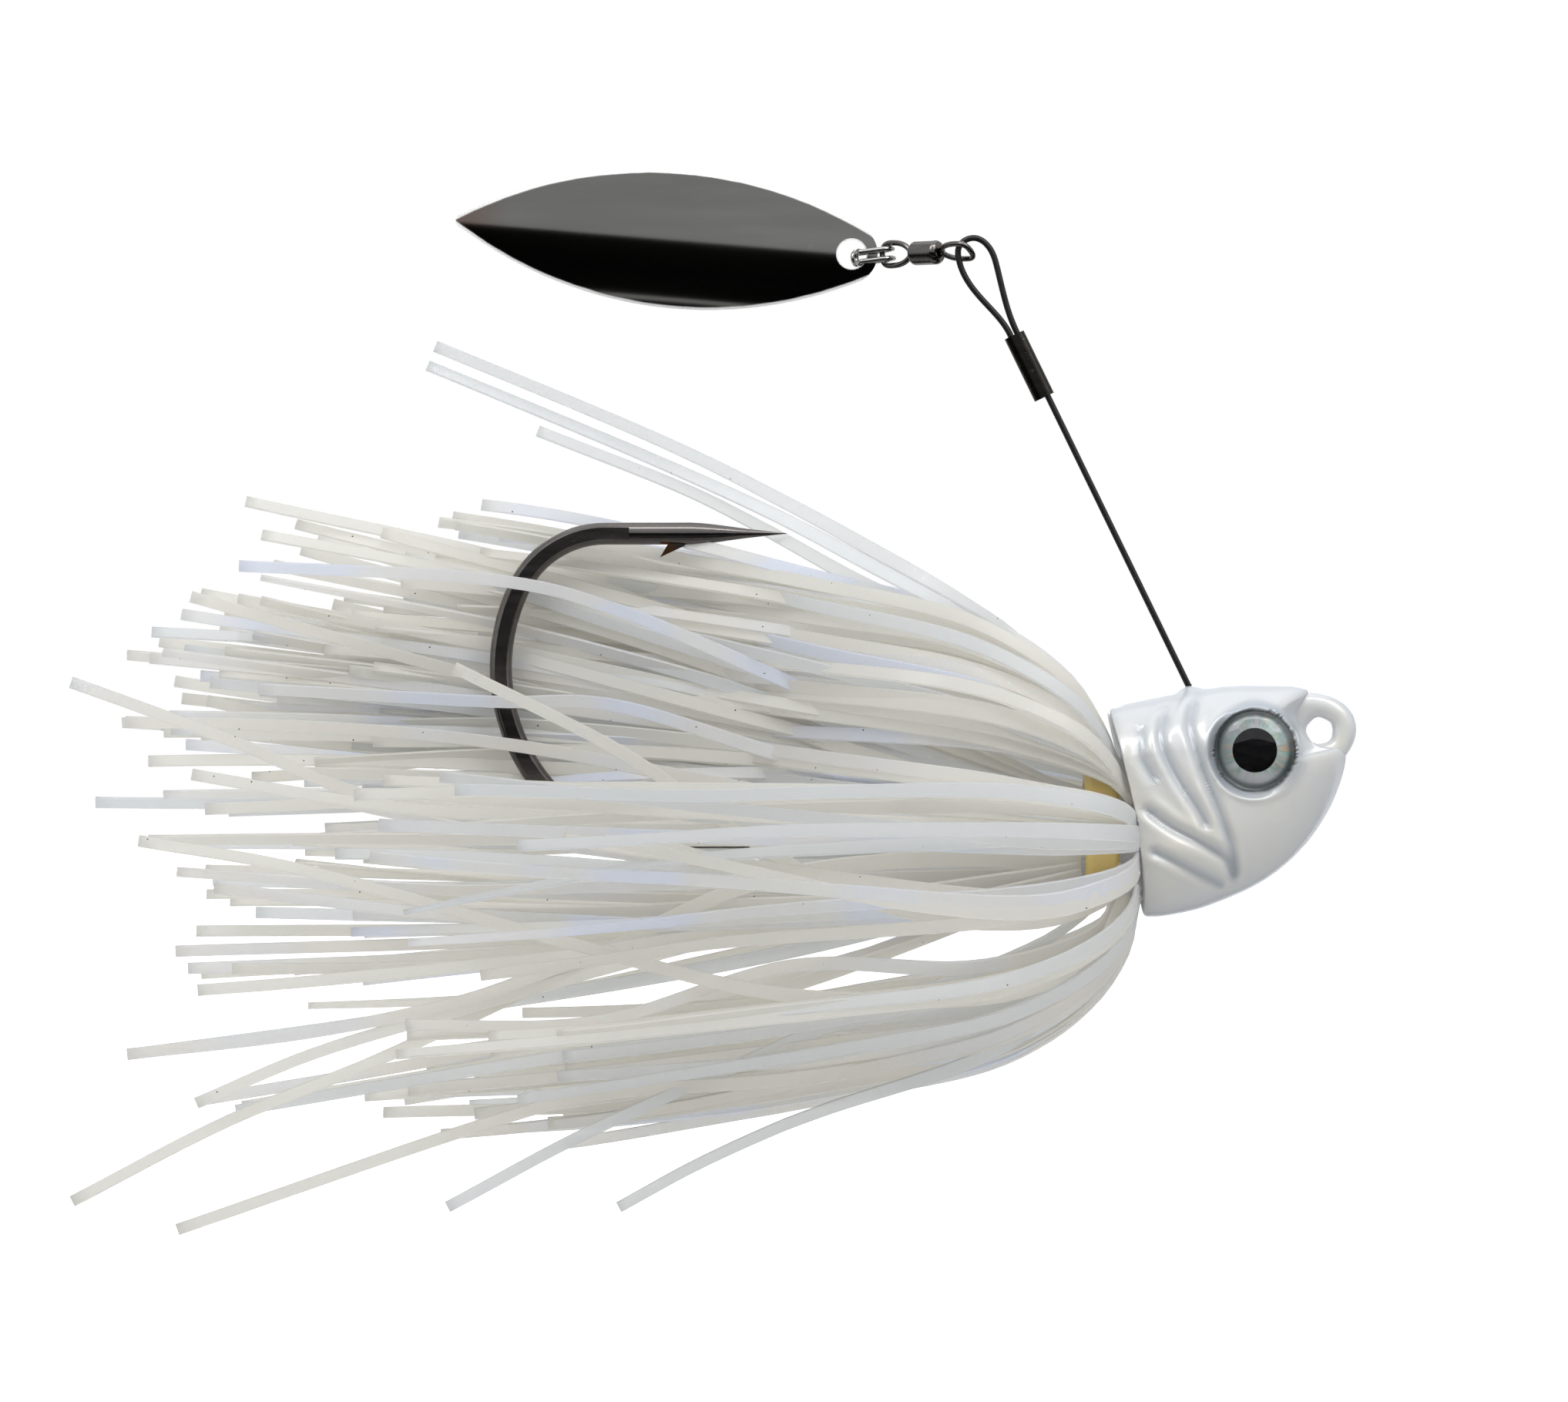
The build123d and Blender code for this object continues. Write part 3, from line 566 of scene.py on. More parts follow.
def head_shell():
    """The head as rings that shrink from its outline to each cheek, with gill plates and eye sockets, and
    painted shade stored for the creases and the eye socket sides.
    """
    outline = resample(np.vstack([catmull(OUTLINE, 16, closed=True), OUTLINE[0]]), 361)[:-1]
    cols = len(outline)
    half = (NODES["head_casting"].dimensions.y / MM) / 2
    verts, painted_shade = [], []
    levels = [math.sin(math.pi / 2 * i / 46) for i in range(47)]
    rings = []
    ahead = outline[:, 0] - rear_edge(outline[:, 1])
    corner = (outline[:, 1] > 0.5) & (ahead < 1.0)
    for level in levels:
        full = (1 - level**1.6) ** (1 / 1.6)
        scale = 0.42 + 0.58 * full
        z = -4.2 - 0.1 * level + (outline[:, 1] + 4.2 + 0.1 * level) * scale
        square = np.where(corner, 1 - 0.85 * min(1.0, 3 * level), 1.0)
        x = rear_edge(z) + ahead * square * scale
        rings.append((np.stack([x, z], axis=1), level * half))
    cheek = np.array([-11.5 + 2.2, -4.3])
    last, _ = rings[-1]
    for i in range(1, 26):
        share = i / 26
        rings.append((last + (cheek - last) * share, half + 0.10 * (1 - (1 - share) ** 2)))
    for side in (-1, 1):
        for ring, y in rings:
            x, z = ring[:, 0].copy(), ring[:, 1].copy()
            relief, crease_shade = head_relief(x, z)
            fade = min(1.0, y / 0.9)
            yy = y + relief * fade
            r = np.hypot(x - EYE[0], z - EYE[1])
            rim = 3.40
            bevel = np.clip((r - 2.56) / 0.56, 0, 1)
            bevel = bevel * bevel * (3 - 2 * bevel)
            socket = rim + (yy - rim) * bevel + 0.16 * np.exp(-(((r - 3.05) / 0.24) ** 2))
            yy = np.where(r < 3.7, socket, yy)
            yy = np.where(r < 2.56, SEAT_Y - 0.02, yy)
            yy = np.where(y < 0.4, y, yy)
            verts.append(np.stack([x, side * yy, z], axis=1))
            # painted shade on the eye socket's sloping side, stronger towards its top
            socket_shade = np.clip((r - 2.45) / 0.15, 0, 1) * np.clip((3.22 - r) / 0.40, 0, 1)
            painted_shade.append(np.maximum(0.75 * crease_shade * fade, socket_shade * (0.74 + 0.20 * (z - EYE[1]) / 3) * (y > 0.4)))
    count = len(rings)
    faces = []
    for k in range(2):
        part = grid_faces(count, cols, k * count * cols)
        faces += part if k else [f[::-1] for f in part]
        inner = k * count * cols + (count - 1) * cols
        cap = tuple(inner + c for c in range(cols))
        faces.append(cap if k else cap[::-1])
    verts = np.vstack(verts)
    boss = np.hypot(verts[:, 0] + 8.2, verts[:, 1])
    verts[:, 2] += np.where(verts[:, 2] > 1.5, 0.22 * np.exp(-((boss / 0.62) ** 2)), 0)
    painted_shade = np.concatenate(painted_shade)
    turn = np.linspace(0, 2 * math.pi, 40, endpoint=False)
    rings = [np.stack([np.full(40, x), r * np.sin(turn), SHANK_Z + r * np.cos(turn)], axis=1) for x, r in STEM]
    base = len(verts)
    faces += grid_faces(len(STEM), 40, base)
    faces.append(tuple(base + c for c in range(40))[::-1])
    faces.append(tuple(base + (len(STEM) - 1) * 40 + c for c in range(40)))
    verts = np.vstack([verts] + rings)
    ring, more = painted_ring(len(verts))
    faces += more
    verts = np.vstack([verts, ring])
    obj = new_mesh("head_shell", verts, faces)
    mesh = obj.data
    values = np.concatenate([painted_shade, np.zeros(len(STEM) * 40 + len(ring))]).astype(np.float32)
    mesh.attributes.new("painted_shade", "FLOAT", "POINT").data.foreach_set("value", values)
    weld(obj)
    return obj


def painted_ring(base):
    """Thick paint over the line-tie eye, gathered a little at its foot."""
    around, across = 120, 24
    verts = []
    for i in range(around):
        a = 2 * math.pi * i / around
        foot = math.exp(-(((a - 4.1) / 0.9) ** 2))
        lump = 0.02 * math.sin(3 * a + 0.5) + 0.015 * math.sin(5 * a)
        outer = 2.27 + 0.28 * math.exp(-(((a - 2.05) / 0.38) ** 2)) + 0.06 * foot + lump
        inner = 0.80 - 0.03 * math.cos(5 * a + 0.6)
        thick, middle = (outer - inner) / 2, (outer + inner) / 2
        for k in range(across):
            c = 2 * math.pi * k / across
            r = middle + thick * math.cos(c)
            verts.append((r * math.cos(a), (0.75 + 0.08 * foot) * math.sin(c), r * math.sin(a)))
    faces = grid_faces(around, across, base)
    last = base + (around - 1) * across
    faces += [(last + k, last + (k + 1) % across, base + (k + 1) % across, base + k) for k in range(across)]
    return np.array(verts), faces


def weld(obj):
    """Merges doubled vertices, such as the head's two halves along its outline."""
    b = bmesh.new()
    b.from_mesh(obj.data)
    bmesh.ops.remove_doubles(b, verts=b.verts, dist=1e-6)
    bmesh.ops.recalc_face_normals(b, faces=b.faces)
    b.to_mesh(obj.data)
    b.free()
    obj.data.shade_smooth()


# ------------------------------------------------------------------ eyes


def disc_cap(name, radius, height, base_y, side):
    """Shallow dome or flat disc on the eye seat, with its local origin at the eye centre."""
    rings, cols = 22, 96
    verts = [(0.0, side * (base_y + height), 0.0)]
    for i in range(1, rings + 1):
        r = radius * i / rings
        y = base_y + height * math.sqrt(max(0.0, 1 - (i / rings) ** 2.6))
        for c in range(cols):
            a = 2 * math.pi * c / cols
            verts.append((r * math.cos(a), side * y, r * math.sin(a)))
    faces = [(0, 1 + c, 1 + (c + 1) % cols) for c in range(cols)]
    faces += grid_faces(rings, cols, 1)
    under = len(verts)
    for c in range(cols):
        a = 2 * math.pi * c / cols
        verts.append((radius * math.cos(a), side * (base_y - 0.1), radius * math.sin(a)))
    edge = 1 + (rings - 1) * cols
    for c in range(cols):
        n = (c + 1) % cols
        faces.append((edge + c, edge + n, under + n, under + c))
    faces.append(tuple(under + c for c in range(cols)))
    obj = new_mesh(name, verts, faces)
    weld(obj)
    obj.location = (EYE[0] * MM, 0, EYE[1] * MM)
    return obj


# ------------------------------------------------------------------ cable


# x and z round the cable's end loop
LOOP = [(-20.1, 28.90), (-20.55, 30.05), (-21.5, 30.68), (-22.42, 30.20), (-22.47, 29.35), (-20.9, 26.72)]


def cable_skin():
    """Cable from inside the head, up the arm, round the loop and back into the sleeve."""
    up = unit(np.array([-0.4368, 0, 0.8997]))
    across = np.array([-up[2], 0, up[0]])
    joint = next(j for j in frame["joints"] if j["name"] == "arm_flex")
    pivot = np.array(joint["pos_m"]) / MM
    out = pivot + up * 24.31
    back = out + across * 0.44
    turn = [out] + [np.array([x, 0, z]) for x, z in LOOP] + [back]
    line = [pivot + up * t for t in np.linspace(-1.0, 23.0, 120)]
    line = np.vstack([line, clamped_spline(turn, up, -up), [back - up * t for t in np.linspace(1.3, 3.9, 10)]])
    tangent = unit(np.gradient(line, axis=0))
    side = np.tile(np.array([0.0, 1.0, 0.0]), (len(line), 1))
    normal = np.cross(side, tangent)
    turns = np.linspace(0, 2 * math.pi, 16, endpoint=False)
    ring = 0.195 * np.stack([np.cos(turns), np.sin(turns)], axis=1)
    verts, faces = section_tube(line, side, normal, ring, 0)
    obj = new_mesh("cable_skin", verts, faces)
    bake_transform(obj)
    return obj


# ------------------------------------------------------------------ skirt

STRAND_W, STRAND_T = 0.72, 0.23


def polar(x, r, phi, squash=0.80):
    """Point at x, distance r from the shank and angle phi from straight up; the skirt is a little flat."""
    return np.array([x, squash * r * math.sin(phi), SHANK_Z + r * math.cos(phi)])


# x and distance from the shank along the outermost front strand
PROFILE = [
    (-11.45, 3.3), (-11.5, 5.0), (-12.05, 7.4), (-13.9, 10.2), (-17.1, 12.8), (-21.6, 14.9),
    (-29.5, 16.6), (-36.0, 17.9), (-47.0, 19.9), (-60.0, 21.6),
]


def front_line(phi, depth, length, drift):
    """Front half: out between the head and the collar, folded back over it, then trailing to its tip."""
    top = max(math.cos(phi), 0.0)
    line = [polar(-13.5, 2.9, phi), polar(-12.4, 2.95, phi)]
    for i, (x, out) in enumerate(PROFILE):
        r = 3.3 + (out - 3.3) * (0.30 + 0.70 * depth)
        back = max(-17.2 - x, 0.0)
        turn = phi + drift * back / 30
        lift = 0.07 * back * (1 - top) * (1 if math.cos(phi) > -0.7 else 0.3)
        point = polar(x - 1.75 * top * min(i, 1) * min(1.0, r / 7.0), r, turn, 0.92 if i < 4 else 0.80)
        point[2] += lift
        line.append(point)
    return trim(catmull(line, 10), length)


def rear_line(tip, phi, spread):
    """Rear half: straight back out of the collar, opening slowly to its tip."""
    end = np.array(tip)
    line = [polar(-13.2, 2.9, phi), polar(-15.0, 3.0, phi), polar(-18.0, 3.3 + 0.5 * spread, phi)]
    start = line[-1]
    for t in (0.3, 0.62):
        bow = polar(0, 1.2 * spread * math.sin(math.pi * t), phi) - polar(0, 0, phi)
        line.append(start + (end - start) * t + bow)
    line.append(end)
    return catmull(line, 10)


def trim(line, length):
    """First part of a polyline, cut at a length."""
    s = np.concatenate([[0], np.cumsum(np.linalg.norm(np.diff(line, axis=0), axis=1))])
    keep = line[s < length]
    last = np.array([np.interp(length, s, line[:, k]) for k in range(3)])
    return np.vstack([keep, last])


def behind_bend(line):
    """Moves a strand to the far side of the hook bend where it would cross the open gape."""
    x, z = line[:, 0], line[:, 2]
    if x.min() > -44:
        return line
    at = int(np.argmin(np.abs(x + 48.5)))
    if z[at] < -3.2:
        return line
    want = 1.35 + 0.35 * abs(line[at, 1])
    ease = np.clip((-22.0 - x) / 22.0, 0, 1)
    line[:, 1] += max(want - line[at, 1], 0.0) * ease * ease * (3 - 2 * ease)
    return line


def ribbon(line, twist, base, width, store, shade, crossing=None):
    """Flat strand along a line: broad face along the collar at first, then lying towards the side."""
    centre = resample(line, 44)
    length = np.linalg.norm(np.diff(centre, axis=0), axis=1).sum()
    s = np.linspace(0, 1, len(centre))
    wave = RNG.normal(0, 1, 6)
    fade = np.clip((s - 0.2) / 0.5, 0, 1) ** 2
    loose = 0.35 if crossing is not None else 1.0
    centre[:, 1] += loose * fade * (0.6 * wave[0] * np.sin(4.0 * s + wave[1]))
    centre[:, 2] += loose * fade * 0.55 * wave[2] * np.sin(3.4 * s + wave[3])
    centre[:, 2] += loose * fade * 0.07 * wave[4] * np.sin(9.0 * s + wave[5])
    if not crossing:
        centre = behind_bend(centre)
    tangent = unit(np.gradient(centre, axis=0))
    radial = centre - np.array([0, 0, SHANK_Z])
    radial[:, 0] = 0
    side = unit(np.cross(tangent, unit(radial)))
    flat = unit(np.cross(tangent, np.array([0.0, 1.0, 0.0])))
    if np.dot(side[8], flat[8]) < 0:
        flat = -flat
    lay = np.clip(s / 0.40, 0, 1)[:, None] ** 1.5 * 0.9
    side = unit(side * (1 - lay) + flat * lay)
    up = unit(np.cross(side, tangent))
    side = unit(np.cross(tangent, up))
    a = (twist * s**1.5)[:, None]
    side, up = side * np.cos(a) + up * np.sin(a), up * np.cos(a) - side * np.sin(a)
    grow = (1 + 0.62 * (1 - s) ** 2)[:, None]
    w, t = width / 2, STRAND_T / 2
    corners = [(1, 0.5), (0.86, 1), (-0.86, 1), (-1, 0.5)]
    outline = np.array([(-x * w, -z * t) for x, z in corners] + [(x * w, z * t) for x, z in corners])
    verts, faces = section_tube(centre, side * grow, up, outline, base)
    store["verts"].append(verts)
    store["faces"] += faces
    store["strand"].append(np.full(len(verts), shade))
    store["along"].append(np.repeat(s * length, len(outline)))
    return base + len(verts)


# Strands that stray from the bundle: x and z along the strand, its y at the end, and if it crosses the bend.
STRAYS = [
    ([(-13.6, 0.2), (-18.5, 5.4), (-22.1, 7.9), (-28.0, 11.3),
      (-33.4, 14.3), (-40.7, 17.9), (-55.2, 23.8)], -4.5, False),
    ([(-13.6, -0.2), (-18.3, 4.6), (-22.5, 7.2), (-28.5, 10.5),
      (-34.0, 13.4), (-41.5, 16.8), (-55.7, 22.8)], -6.5, False),
    ([(-13.4, -1.0), (-18.0, 3.6), (-23.3, 6.6), (-29.0, 9.4),
      (-34.5, 12.5), (-40.0, 15.3), (-48.8, 18.8)], -5.5, False),
    ([(-12.3, -10.5), (-14.8, -15.2), (-20.0, -19.8), (-30.9, -23.8),
      (-38.2, -26.8), (-43.6, -29.5)], -3.0, False),
    ([(-12.3, -10.2), (-15.0, -14.2), (-21.0, -17.0), (-29.5, -18.0),
      (-35.8, -20.4), (-45.6, -24.8), (-54.1, -29.4)], -5.0, False),
    ([(-12.3, -10.4), (-15.5, -15.2), (-22.0, -19.2), (-32.0, -21.4),
      (-44.1, -22.4), (-51.9, -24.3), (-70.7, -30.7)], -6.0, False),
    ([(-15.0, -8.0), (-26.0, -8.0), (-35.8, -9.6), (-48.0, -15.4),
      (-57.8, -19.9), (-67.5, -23.8), (-76.9, -28.7)], -9.0, False),
    ([(-12.2, -9.2), (-14.6, -10.9), (-18.5, -11.8), (-24.5, -11.4),
      (-31.0, -9.2), (-37.0, -5.6), (-43.5, -1.2), (-53.4, 3.8)], -12.0, True),
    ([(-15.0, -5.4), (-28.0, -6.2), (-42.0, -5.6), (-57.8, -4.3),
      (-66.6, -0.9), (-72.4, 1.3), (-77.0, 3.0)], -8.5, True),
    ([(-12.2, -10.2), (-14.5, -14.2), (-20.0, -16.4), (-28.5, -16.5),
      (-35.8, -15.8), (-48.0, -12.6), (-62.7, -8.5), (-72.7, -6.7)], -10.5, True),
    ([(-15.0, -9.0), (-26.0, -11.2), (-38.0, -12.6), (-45.1, -13.8),
      (-52.9, -16.5), (-62.7, -18.5), (-73.5, -19.7)], -9.5, False),
    ([(-15.0, -8.6), (-28.0, -10.5), (-40.0, -13.4), (-50.9, -16.3),
      (-61.7, -19.4), (-69.3, -22.6)], -9.0, False),
    ([(-13.0, -9.8), (-18.0, -13.4), (-30.0, -17.6), (-48.0, -20.2), (-67.1, -23.4)], -6.0, False),
    ([(-12.3, -8.6), (-14.5, -10.4), (-22.0, -11.6), (-34.0, -9.0),
      (-46.0, -5.8), (-58.0, -4.4), (-69.5, -2.4)], -10.0, True),
    ([(-12.3, -9.6), (-14.5, -12.6), (-22.0, -14.6), (-33.0, -14.4),
      (-45.0, -17.6), (-56.5, -17.9)], -9.0, False),
    ([(-15.0, -4.4), (-24.0, -1.4), (-34.0, 3.4), (-44.0, 7.6), (-51.8, 9.4), (-67.2, 10.2)], -1.9, True),
    ([(-15.0, -5.6), (-24.0, -4.2), (-34.0, -1.4), (-44.0, 1.6), (-52.0, 1.8), (-66.0, 2.6)], -2.0, True),
    ([(-15.0, -6.0), (-26.0, -5.4), (-38.0, -3.2), (-50.0, -1.0), (-62.0, 0.2), (-74.2, 0.6)], -2.2, True),
]
TIPS = [  # x and z of the tips that end the rear halves
    (-67.0, 14.4), (-63.9, 13.3), (-66.0, 11.8), (-65.3, 9.8), (-72.9, 6.2), (-74.4, 4.7),
    (-74.9, 0.4), (-73.1, -2.6), (-76.3, -4.4), (-72.7, -6.7), (-68.8, -9.1), (-69.3, -10.4),
    (-70.1, -12.5), (-71.3, -13.8), (-70.5, -14.8), (-73.5, -19.7), (-69.3, -22.6), (-67.1, -23.4),
    (-54.6, -20.2), (-58.5, 12.6), (-61.0, 8.4), (-70.0, 3.2),
]
KINDS = ["skirt_pearl", "skirt_smoke", "skirt_flash", "skirt_glitter"]


def build_skirt():
    """Every strand, in four groups by kind of silicone."""
    store = {k: {"verts": [], "faces": [], "strand": [], "along": [], "base": 0} for k in KINDS}

    def add(line, kind, twist=0.5, crossing=None):
        s = store[kind]
        shade = float(RNG.uniform(0, 1))
        s["base"] = ribbon(line, RNG.normal(0, twist), s["base"], STRAND_W, s, shade, crossing)

    def kind():
        return KINDS[int(RNG.choice(4, p=[0.44, 0.22, 0.18, 0.16]))]

    for k, (points, y_end, crossing) in enumerate(STRAYS):
        n = len(points)
        line = [(x, y_end * (0.35 + 0.65 * i / (n - 1)), z) for i, (x, z) in enumerate(points)]
        add(catmull(line, 10), "skirt_smoke" if k < 5 else kind(), 0.3, crossing)
    for x, z in TIPS:
        y = RNG.uniform(-8, 5)
        phi = math.atan2(y / 0.8, z - SHANK_Z)
        add(rear_line((x, y, z), phi, math.hypot(y, z - SHANK_Z) / 12), kind())
    for i in range(104):
        z = RNG.normal(2.8, 4.6) if i % 10 < 8 else RNG.uniform(-17, -3)
        y = RNG.normal(0, 4.6)
        z = min(max(z, -18.0), 12.0)
        reach = RNG.uniform(44, 59)
        x = -15 - math.sqrt(reach**2 - (z - SHANK_Z) ** 2 - y**2)
        stray = 1.1 if i % 6 == 0 else 0.4
        phi = clear_of_bend(math.atan2(y / 0.8, z - SHANK_Z) + RNG.normal(0, stray))
        add(rear_line((x, y, z), phi, 0.8), kind(), 0.6)
    for i in range(146):
        for _ in range(8):
            phi = around_windows(clear_of_bend(i * 2.39996 + 1.0 + RNG.normal(0, 0.12)))
            depth = RNG.uniform(0, 1) ** 0.65
            line = front_line(phi, depth, RNG.uniform(44, 58) - 4 * depth, RNG.normal(0, 0.2))
            if not in_gap(line):
                add(line, kind(), 0.6)
                break
    for i in range(26):
        phi = clear_of_bend(math.radians(RNG.uniform(-38, 46)))
        add(front_line(phi, RNG.uniform(0.74, 1.0), RNG.uniform(42, 53), RNG.normal(0, 0.1)), kind(), 0.5)
    made = []
    for name in KINDS:
        s = store[name]
        obj = new_mesh(name.replace("skirt", "strands"), np.vstack(s["verts"]), s["faces"])
        for key in ("strand", "along"):
            values = np.concatenate(s[key]).astype(np.float32)
            obj.data.attributes.new(key, "FLOAT", "POINT").data.foreach_set("value", values)
        crisp_edges(obj.data)
        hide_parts(name)
        made.append(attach(obj, "head"))
    return made


def crisp_edges(mesh):
    """Marks the long edges of each strand's two broad faces as sharp; every ring has eight corners."""
    ends = np.empty(len(mesh.edges) * 2, dtype=np.int32)
    mesh.edges.foreach_get("vertices", ends)
    ends = ends.reshape(-1, 2)
    lengthwise = np.abs(ends[:, 0] - ends[:, 1]) == 8
    sharp = lengthwise & np.isin(ends[:, 0] % 8, (1, 2, 5, 6))
    mesh.attributes.new("sharp_edge", "BOOLEAN", "EDGE").data.foreach_set("value", sharp)


# Clear gaps low in the skirt: x and z of both ends, and half their height.
GAPS = [
    ((-33.5, -15.7), (-25.5, -14.9), 0.50), ((-28.0, -14.5), (-21.0, -13.3), 0.55),
    ((-20.8, -13.5), (-14.2, -11.4), 0.60), ((-33.0, -18.9), (-23.5, -17.1), 0.35),
]


def in_gap(line):
    """Whether a strand's centre line crosses one of the clear gaps."""
    for (x0, z0), (x1, z1), half in GAPS:
        t = np.clip((line[:, 0] - x0) / (x1 - x0), 0, 1)
        reach = half * np.sqrt(4 * t * (1 - t)) * 1.25
        if (np.abs(line[:, 2] - z0 - (z1 - z0) * t) < reach).any():
            return True
    return False


def around_windows(phi):
    """Leaves three narrow gaps on the right side, through which the collar shows."""
    for middle, half in ((-63, 12), (-83, 4), (-100, 6)):
        off = math.degrees(phi) - middle
        if abs(off) < half:
            phi = math.radians(middle + math.copysign(half + 0.3 * abs(off), off))
    return phi


def clear_of_bend(phi):
    """Parts the strands above the shank, where the hook bend stands."""
    phi = (phi + math.pi) % (2 * math.pi) - math.pi
    gap = math.radians(13)
    return math.copysign(max(abs(phi), gap), phi)


# ------------------------------------------------------------------ build the object


def use(obj, material):
    obj.data.materials.clear()
    obj.data.materials.append(material)
    return obj


PEARL = pearl_paint()
head = use(head_shell(), PEARL)
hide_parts("head_casting")
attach(head, "head")

PRINT, CLEAR = eye_print(), eye_clear()
for side, word in ((-1, "right"), (1, "left")):
    foil = use(disc_cap("eye_print_" + word, 2.50, 0.12, SEAT_Y, side), PRINT)
    dome = use(disc_cap("eye_lens_" + word, 2.52, 1.05, SEAT_Y + 0.14, side), CLEAR)
    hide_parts("eye_foil_" + word)
    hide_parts("eye_dome_" + word)
    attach(foil, "head")
    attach(dome, "head")

COAT = cable_coat()
cable = use(cable_skin(), COAT)
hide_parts("arm_cable")

DARK = black_nickel("black_nickel")
use(NODES["hook"], black_nickel("hook_steel", painted=True))
use(NODES["arm_cable_root"], COAT)
use(NODES["arm_anchor_ferrule"], bright_nickel())
use(NODES["arm_crimp_sleeve"], black_nickel("sleeve_metal", (0.028, 0.026, 0.023), 0.24))
for node in ("swivel_front_eye", "swivel_barrel", "swivel_rear_eye"):
    use(NODES[node], DARK)
use(NODES["blade_link"], bright_nickel())
use(NODES["blade"], blade_mirror())
use(NODES["skirt_collar"], collar_rubber())

strands = build_skirt()
SILICONE = {  # kind: colour when thin, colour when thick, then flake, dark specks, clearness and sheen
    "pearl": ((0.83, 0.825, 0.795), (0.82, 0.805, 0.76), 0.25, 0.006),
    "smoke": ((0.78, 0.81, 0.84), (0.77, 0.785, 0.80), 0.10, 0.008, 0.22),
    "flash": ((0.82, 0.83, 0.86), (0.82, 0.82, 0.80), 0.85, 0.004, 0.16, 0.75),
    "glitter": ((0.83, 0.82, 0.79), (0.82, 0.80, 0.755), 0.95, 0.010, 0.16, 0.25),
}
for obj, kind in zip(strands, SILICONE):
    use(obj, silicone("silicone_" + kind, *SILICONE[kind]))


# ------------------------------------------------------------------ stage


def plane(name, centre, size, facing):
    mesh = bpy.data.meshes.new(name)
    w, h = size[0] / 2, size[1] / 2
    mesh.from_pydata([(-w, -h, 0), (w, -h, 0), (w, h, 0), (-w, h, 0)], [], [(0, 1, 2, 3)])
    obj = bpy.data.objects.new(name, mesh)
    bpy.context.scene.collection.objects.link(obj)
    obj.location = centre
    obj.rotation_mode = "QUATERNION"
    obj.rotation_quaternion = Vector(facing).to_track_quat("Z", "Y")
    return obj


def softbox(name, centre, target, size, power):
    light = bpy.data.lights.new(name, "AREA")
    light.shape = "RECTANGLE"
    light.size, light.size_y = size
    light.energy = power
    obj = bpy.data.objects.new(name, light)
    bpy.context.scene.collection.objects.link(obj)
    obj.location = centre
    obj.rotation_mode = "QUATERNION"
    obj.rotation_quaternion = (Vector(target) - Vector(centre)).to_track_quat("-Z", "Y")
    return obj


floor = plane("floor", (-0.033, 0, -0.062), (6.0, 6.0), (0, 0, 1))
b = Mat("floor_white")
b.set(Base_Color=b.mix(b.noise(30.0), (0.86, 0.86, 0.86), (0.88, 0.88, 0.88)), Roughness=0.9)
seen_directly = b.node("ShaderNodeLightPath").outputs["Is Camera Ray"]
b.set(Emission_Color=(1, 1, 1, 1), Emission_Strength=b.math("MULTIPLY", seen_directly, 0.9))
floor.data.materials.append(b.m)


def bent_card(name, profile, half_width):
    """Sheet bent along a profile of y and z, for reflections only."""
    verts = [(x, y, z) for y, z in profile for x in (-half_width, half_width)]
    faces = [(2 * i, 2 * i + 1, 2 * i + 3, 2 * i + 2) for i in range(len(profile) - 1)]
    mesh = bpy.data.meshes.new(name)
    mesh.from_pydata(verts, [], faces)
    obj = bpy.data.objects.new(name, mesh)
    bpy.context.scene.collection.objects.link(obj)
    obj.visible_camera = obj.visible_shadow = obj.visible_diffuse = False
    return obj


# painted reflection: a dark sheet seen only in reflections darkens the lower half of the blade and of the wires
card = bent_card("dark_card", [(0.08, -0.0605), (-0.30, -0.0605), (-0.33, 0.046)], 0.6)
b = Mat("card_black")
b.set(Base_Color=b.mix(b.noise(40.0), (0.003, 0.003, 0.003), (0.006, 0.006, 0.006)))
b.set(Roughness=0.9, Specular_IOR_Level=0.0)
place = b.node("ShaderNodeSeparateXYZ")
b.link(b.coords(), place.inputs[0])
ripple = b.math("MULTIPLY", b.noise(9.0, 2.0, b.mapping(b.coords(), (1, 0.2, 1))), 0.03)
wavy = b.math("ADD", place.outputs["Y"], ripple)
# painted highlight: a glowing strip on the card, seen only in reflections, puts bright streaks low on the blade
glow = b.math("MULTIPLY", b.band(wavy, -0.118, -0.110), b.math("SUBTRACT", 1.0, b.band(wavy, -0.104, -0.097)))
b.set(Emission_Color=(1, 1, 1, 1), Emission_Strength=b.math("MULTIPLY", glow, 0.65))
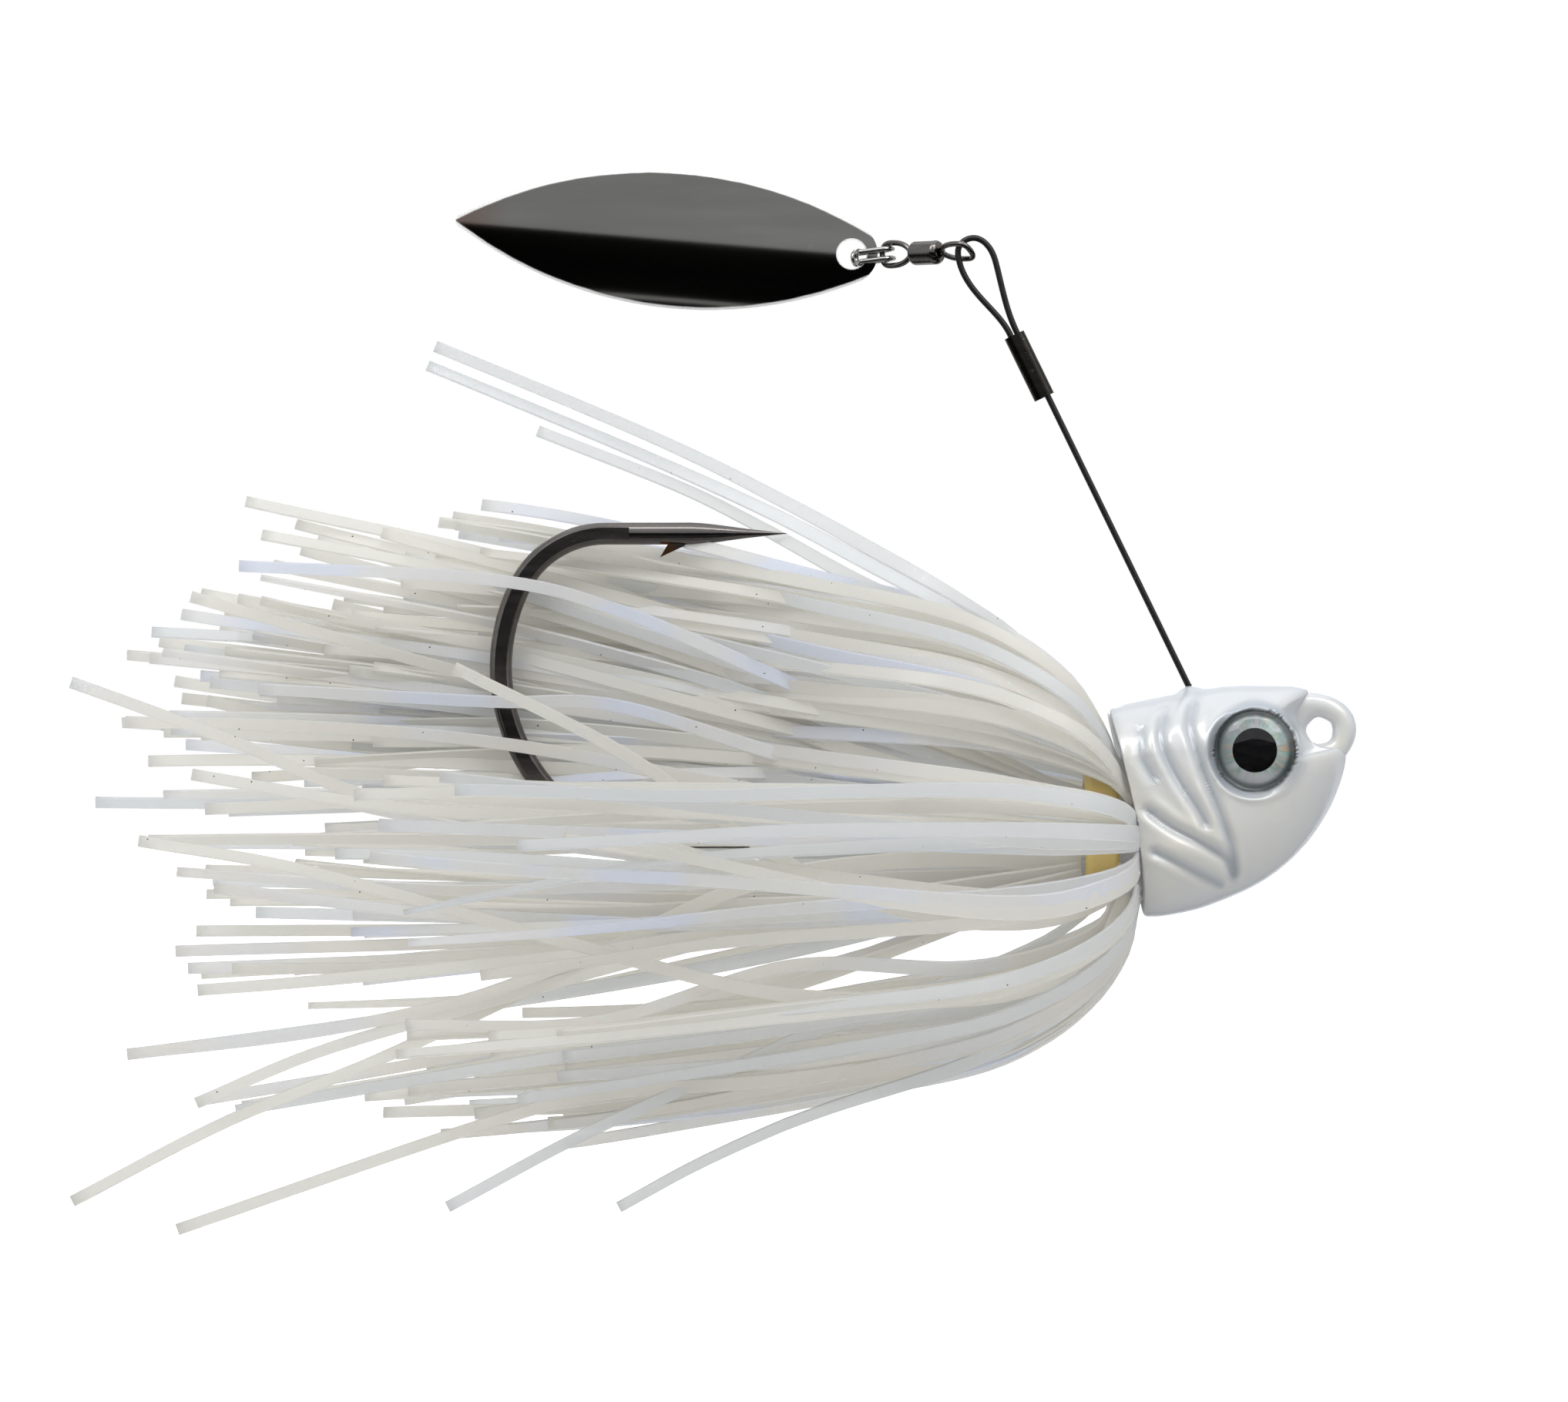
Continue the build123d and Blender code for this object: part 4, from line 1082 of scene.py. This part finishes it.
card.data.materials.append(b.m)

world = bpy.data.worlds.new("studio")
bpy.context.scene.world = world
world.use_nodes = True
wt = world.node_tree
bg = wt.nodes["Background"]
bg.inputs["Color"].default_value = (0.96, 0.98, 1.0, 1)
path = wt.nodes.new("ShaderNodeLightPath")
soft = wt.nodes.new("ShaderNodeMath")
soft.operation = "MULTIPLY_ADD"
soft.inputs[1].default_value = 0.35
soft.inputs[2].default_value = 0.50
wt.links.new(path.outputs["Is Glossy Ray"], soft.inputs[0])
wt.links.new(soft.outputs[0], bg.inputs["Strength"])
seen = wt.nodes.new("ShaderNodeBackground")
seen.inputs["Color"].default_value = (1, 1, 1, 1)
seen.inputs["Strength"].default_value = 1.0
mixer = wt.nodes.new("ShaderNodeMixShader")
wt.links.new(path.outputs["Is Camera Ray"], mixer.inputs[0])
wt.links.new(bg.outputs[0], mixer.inputs[1])
wt.links.new(seen.outputs[0], mixer.inputs[2])
wt.links.new(mixer.outputs[0], wt.nodes["World Output"].inputs["Surface"])

AIM = (-0.033, 0, 0.0)
softbox("key_left", (-0.28, -0.30, 0.34), AIM, (0.26, 0.20), 0.62)
softbox("key_right", (0.22, -0.26, 0.30), AIM, (0.20, 0.26), 0.52)
softbox("top_fill", (-0.03, 0.10, 0.42), AIM, (0.40, 0.30), 0.30)
softbox("strip", (-0.03, -0.20, 0.36), AIM, (0.50, 0.10), 0.75)
softbox("back_rim", (-0.05, 0.36, 0.12), AIM, (0.40, 0.24), 0.40)

view = bpy.context.scene.view_settings
view.view_transform = "Standard"
view.look = "None"

cam = bpy.data.cameras.new("camera")
cam_obj = bpy.data.objects.new("camera", cam)
bpy.context.scene.collection.objects.link(cam_obj)
bpy.context.scene.camera = cam_obj
cam.sensor_width = 36.0
cam.lens = 180.0
distance = 180.0 * (2035 * 0.048 * MM) / 36.0
cam_obj.location = (-33.36 * MM, -distance, 1.83 * MM)
cam_obj.rotation_euler = (math.pi / 2, 0, 0)
cam.clip_start, cam.clip_end = 0.01, 20.0
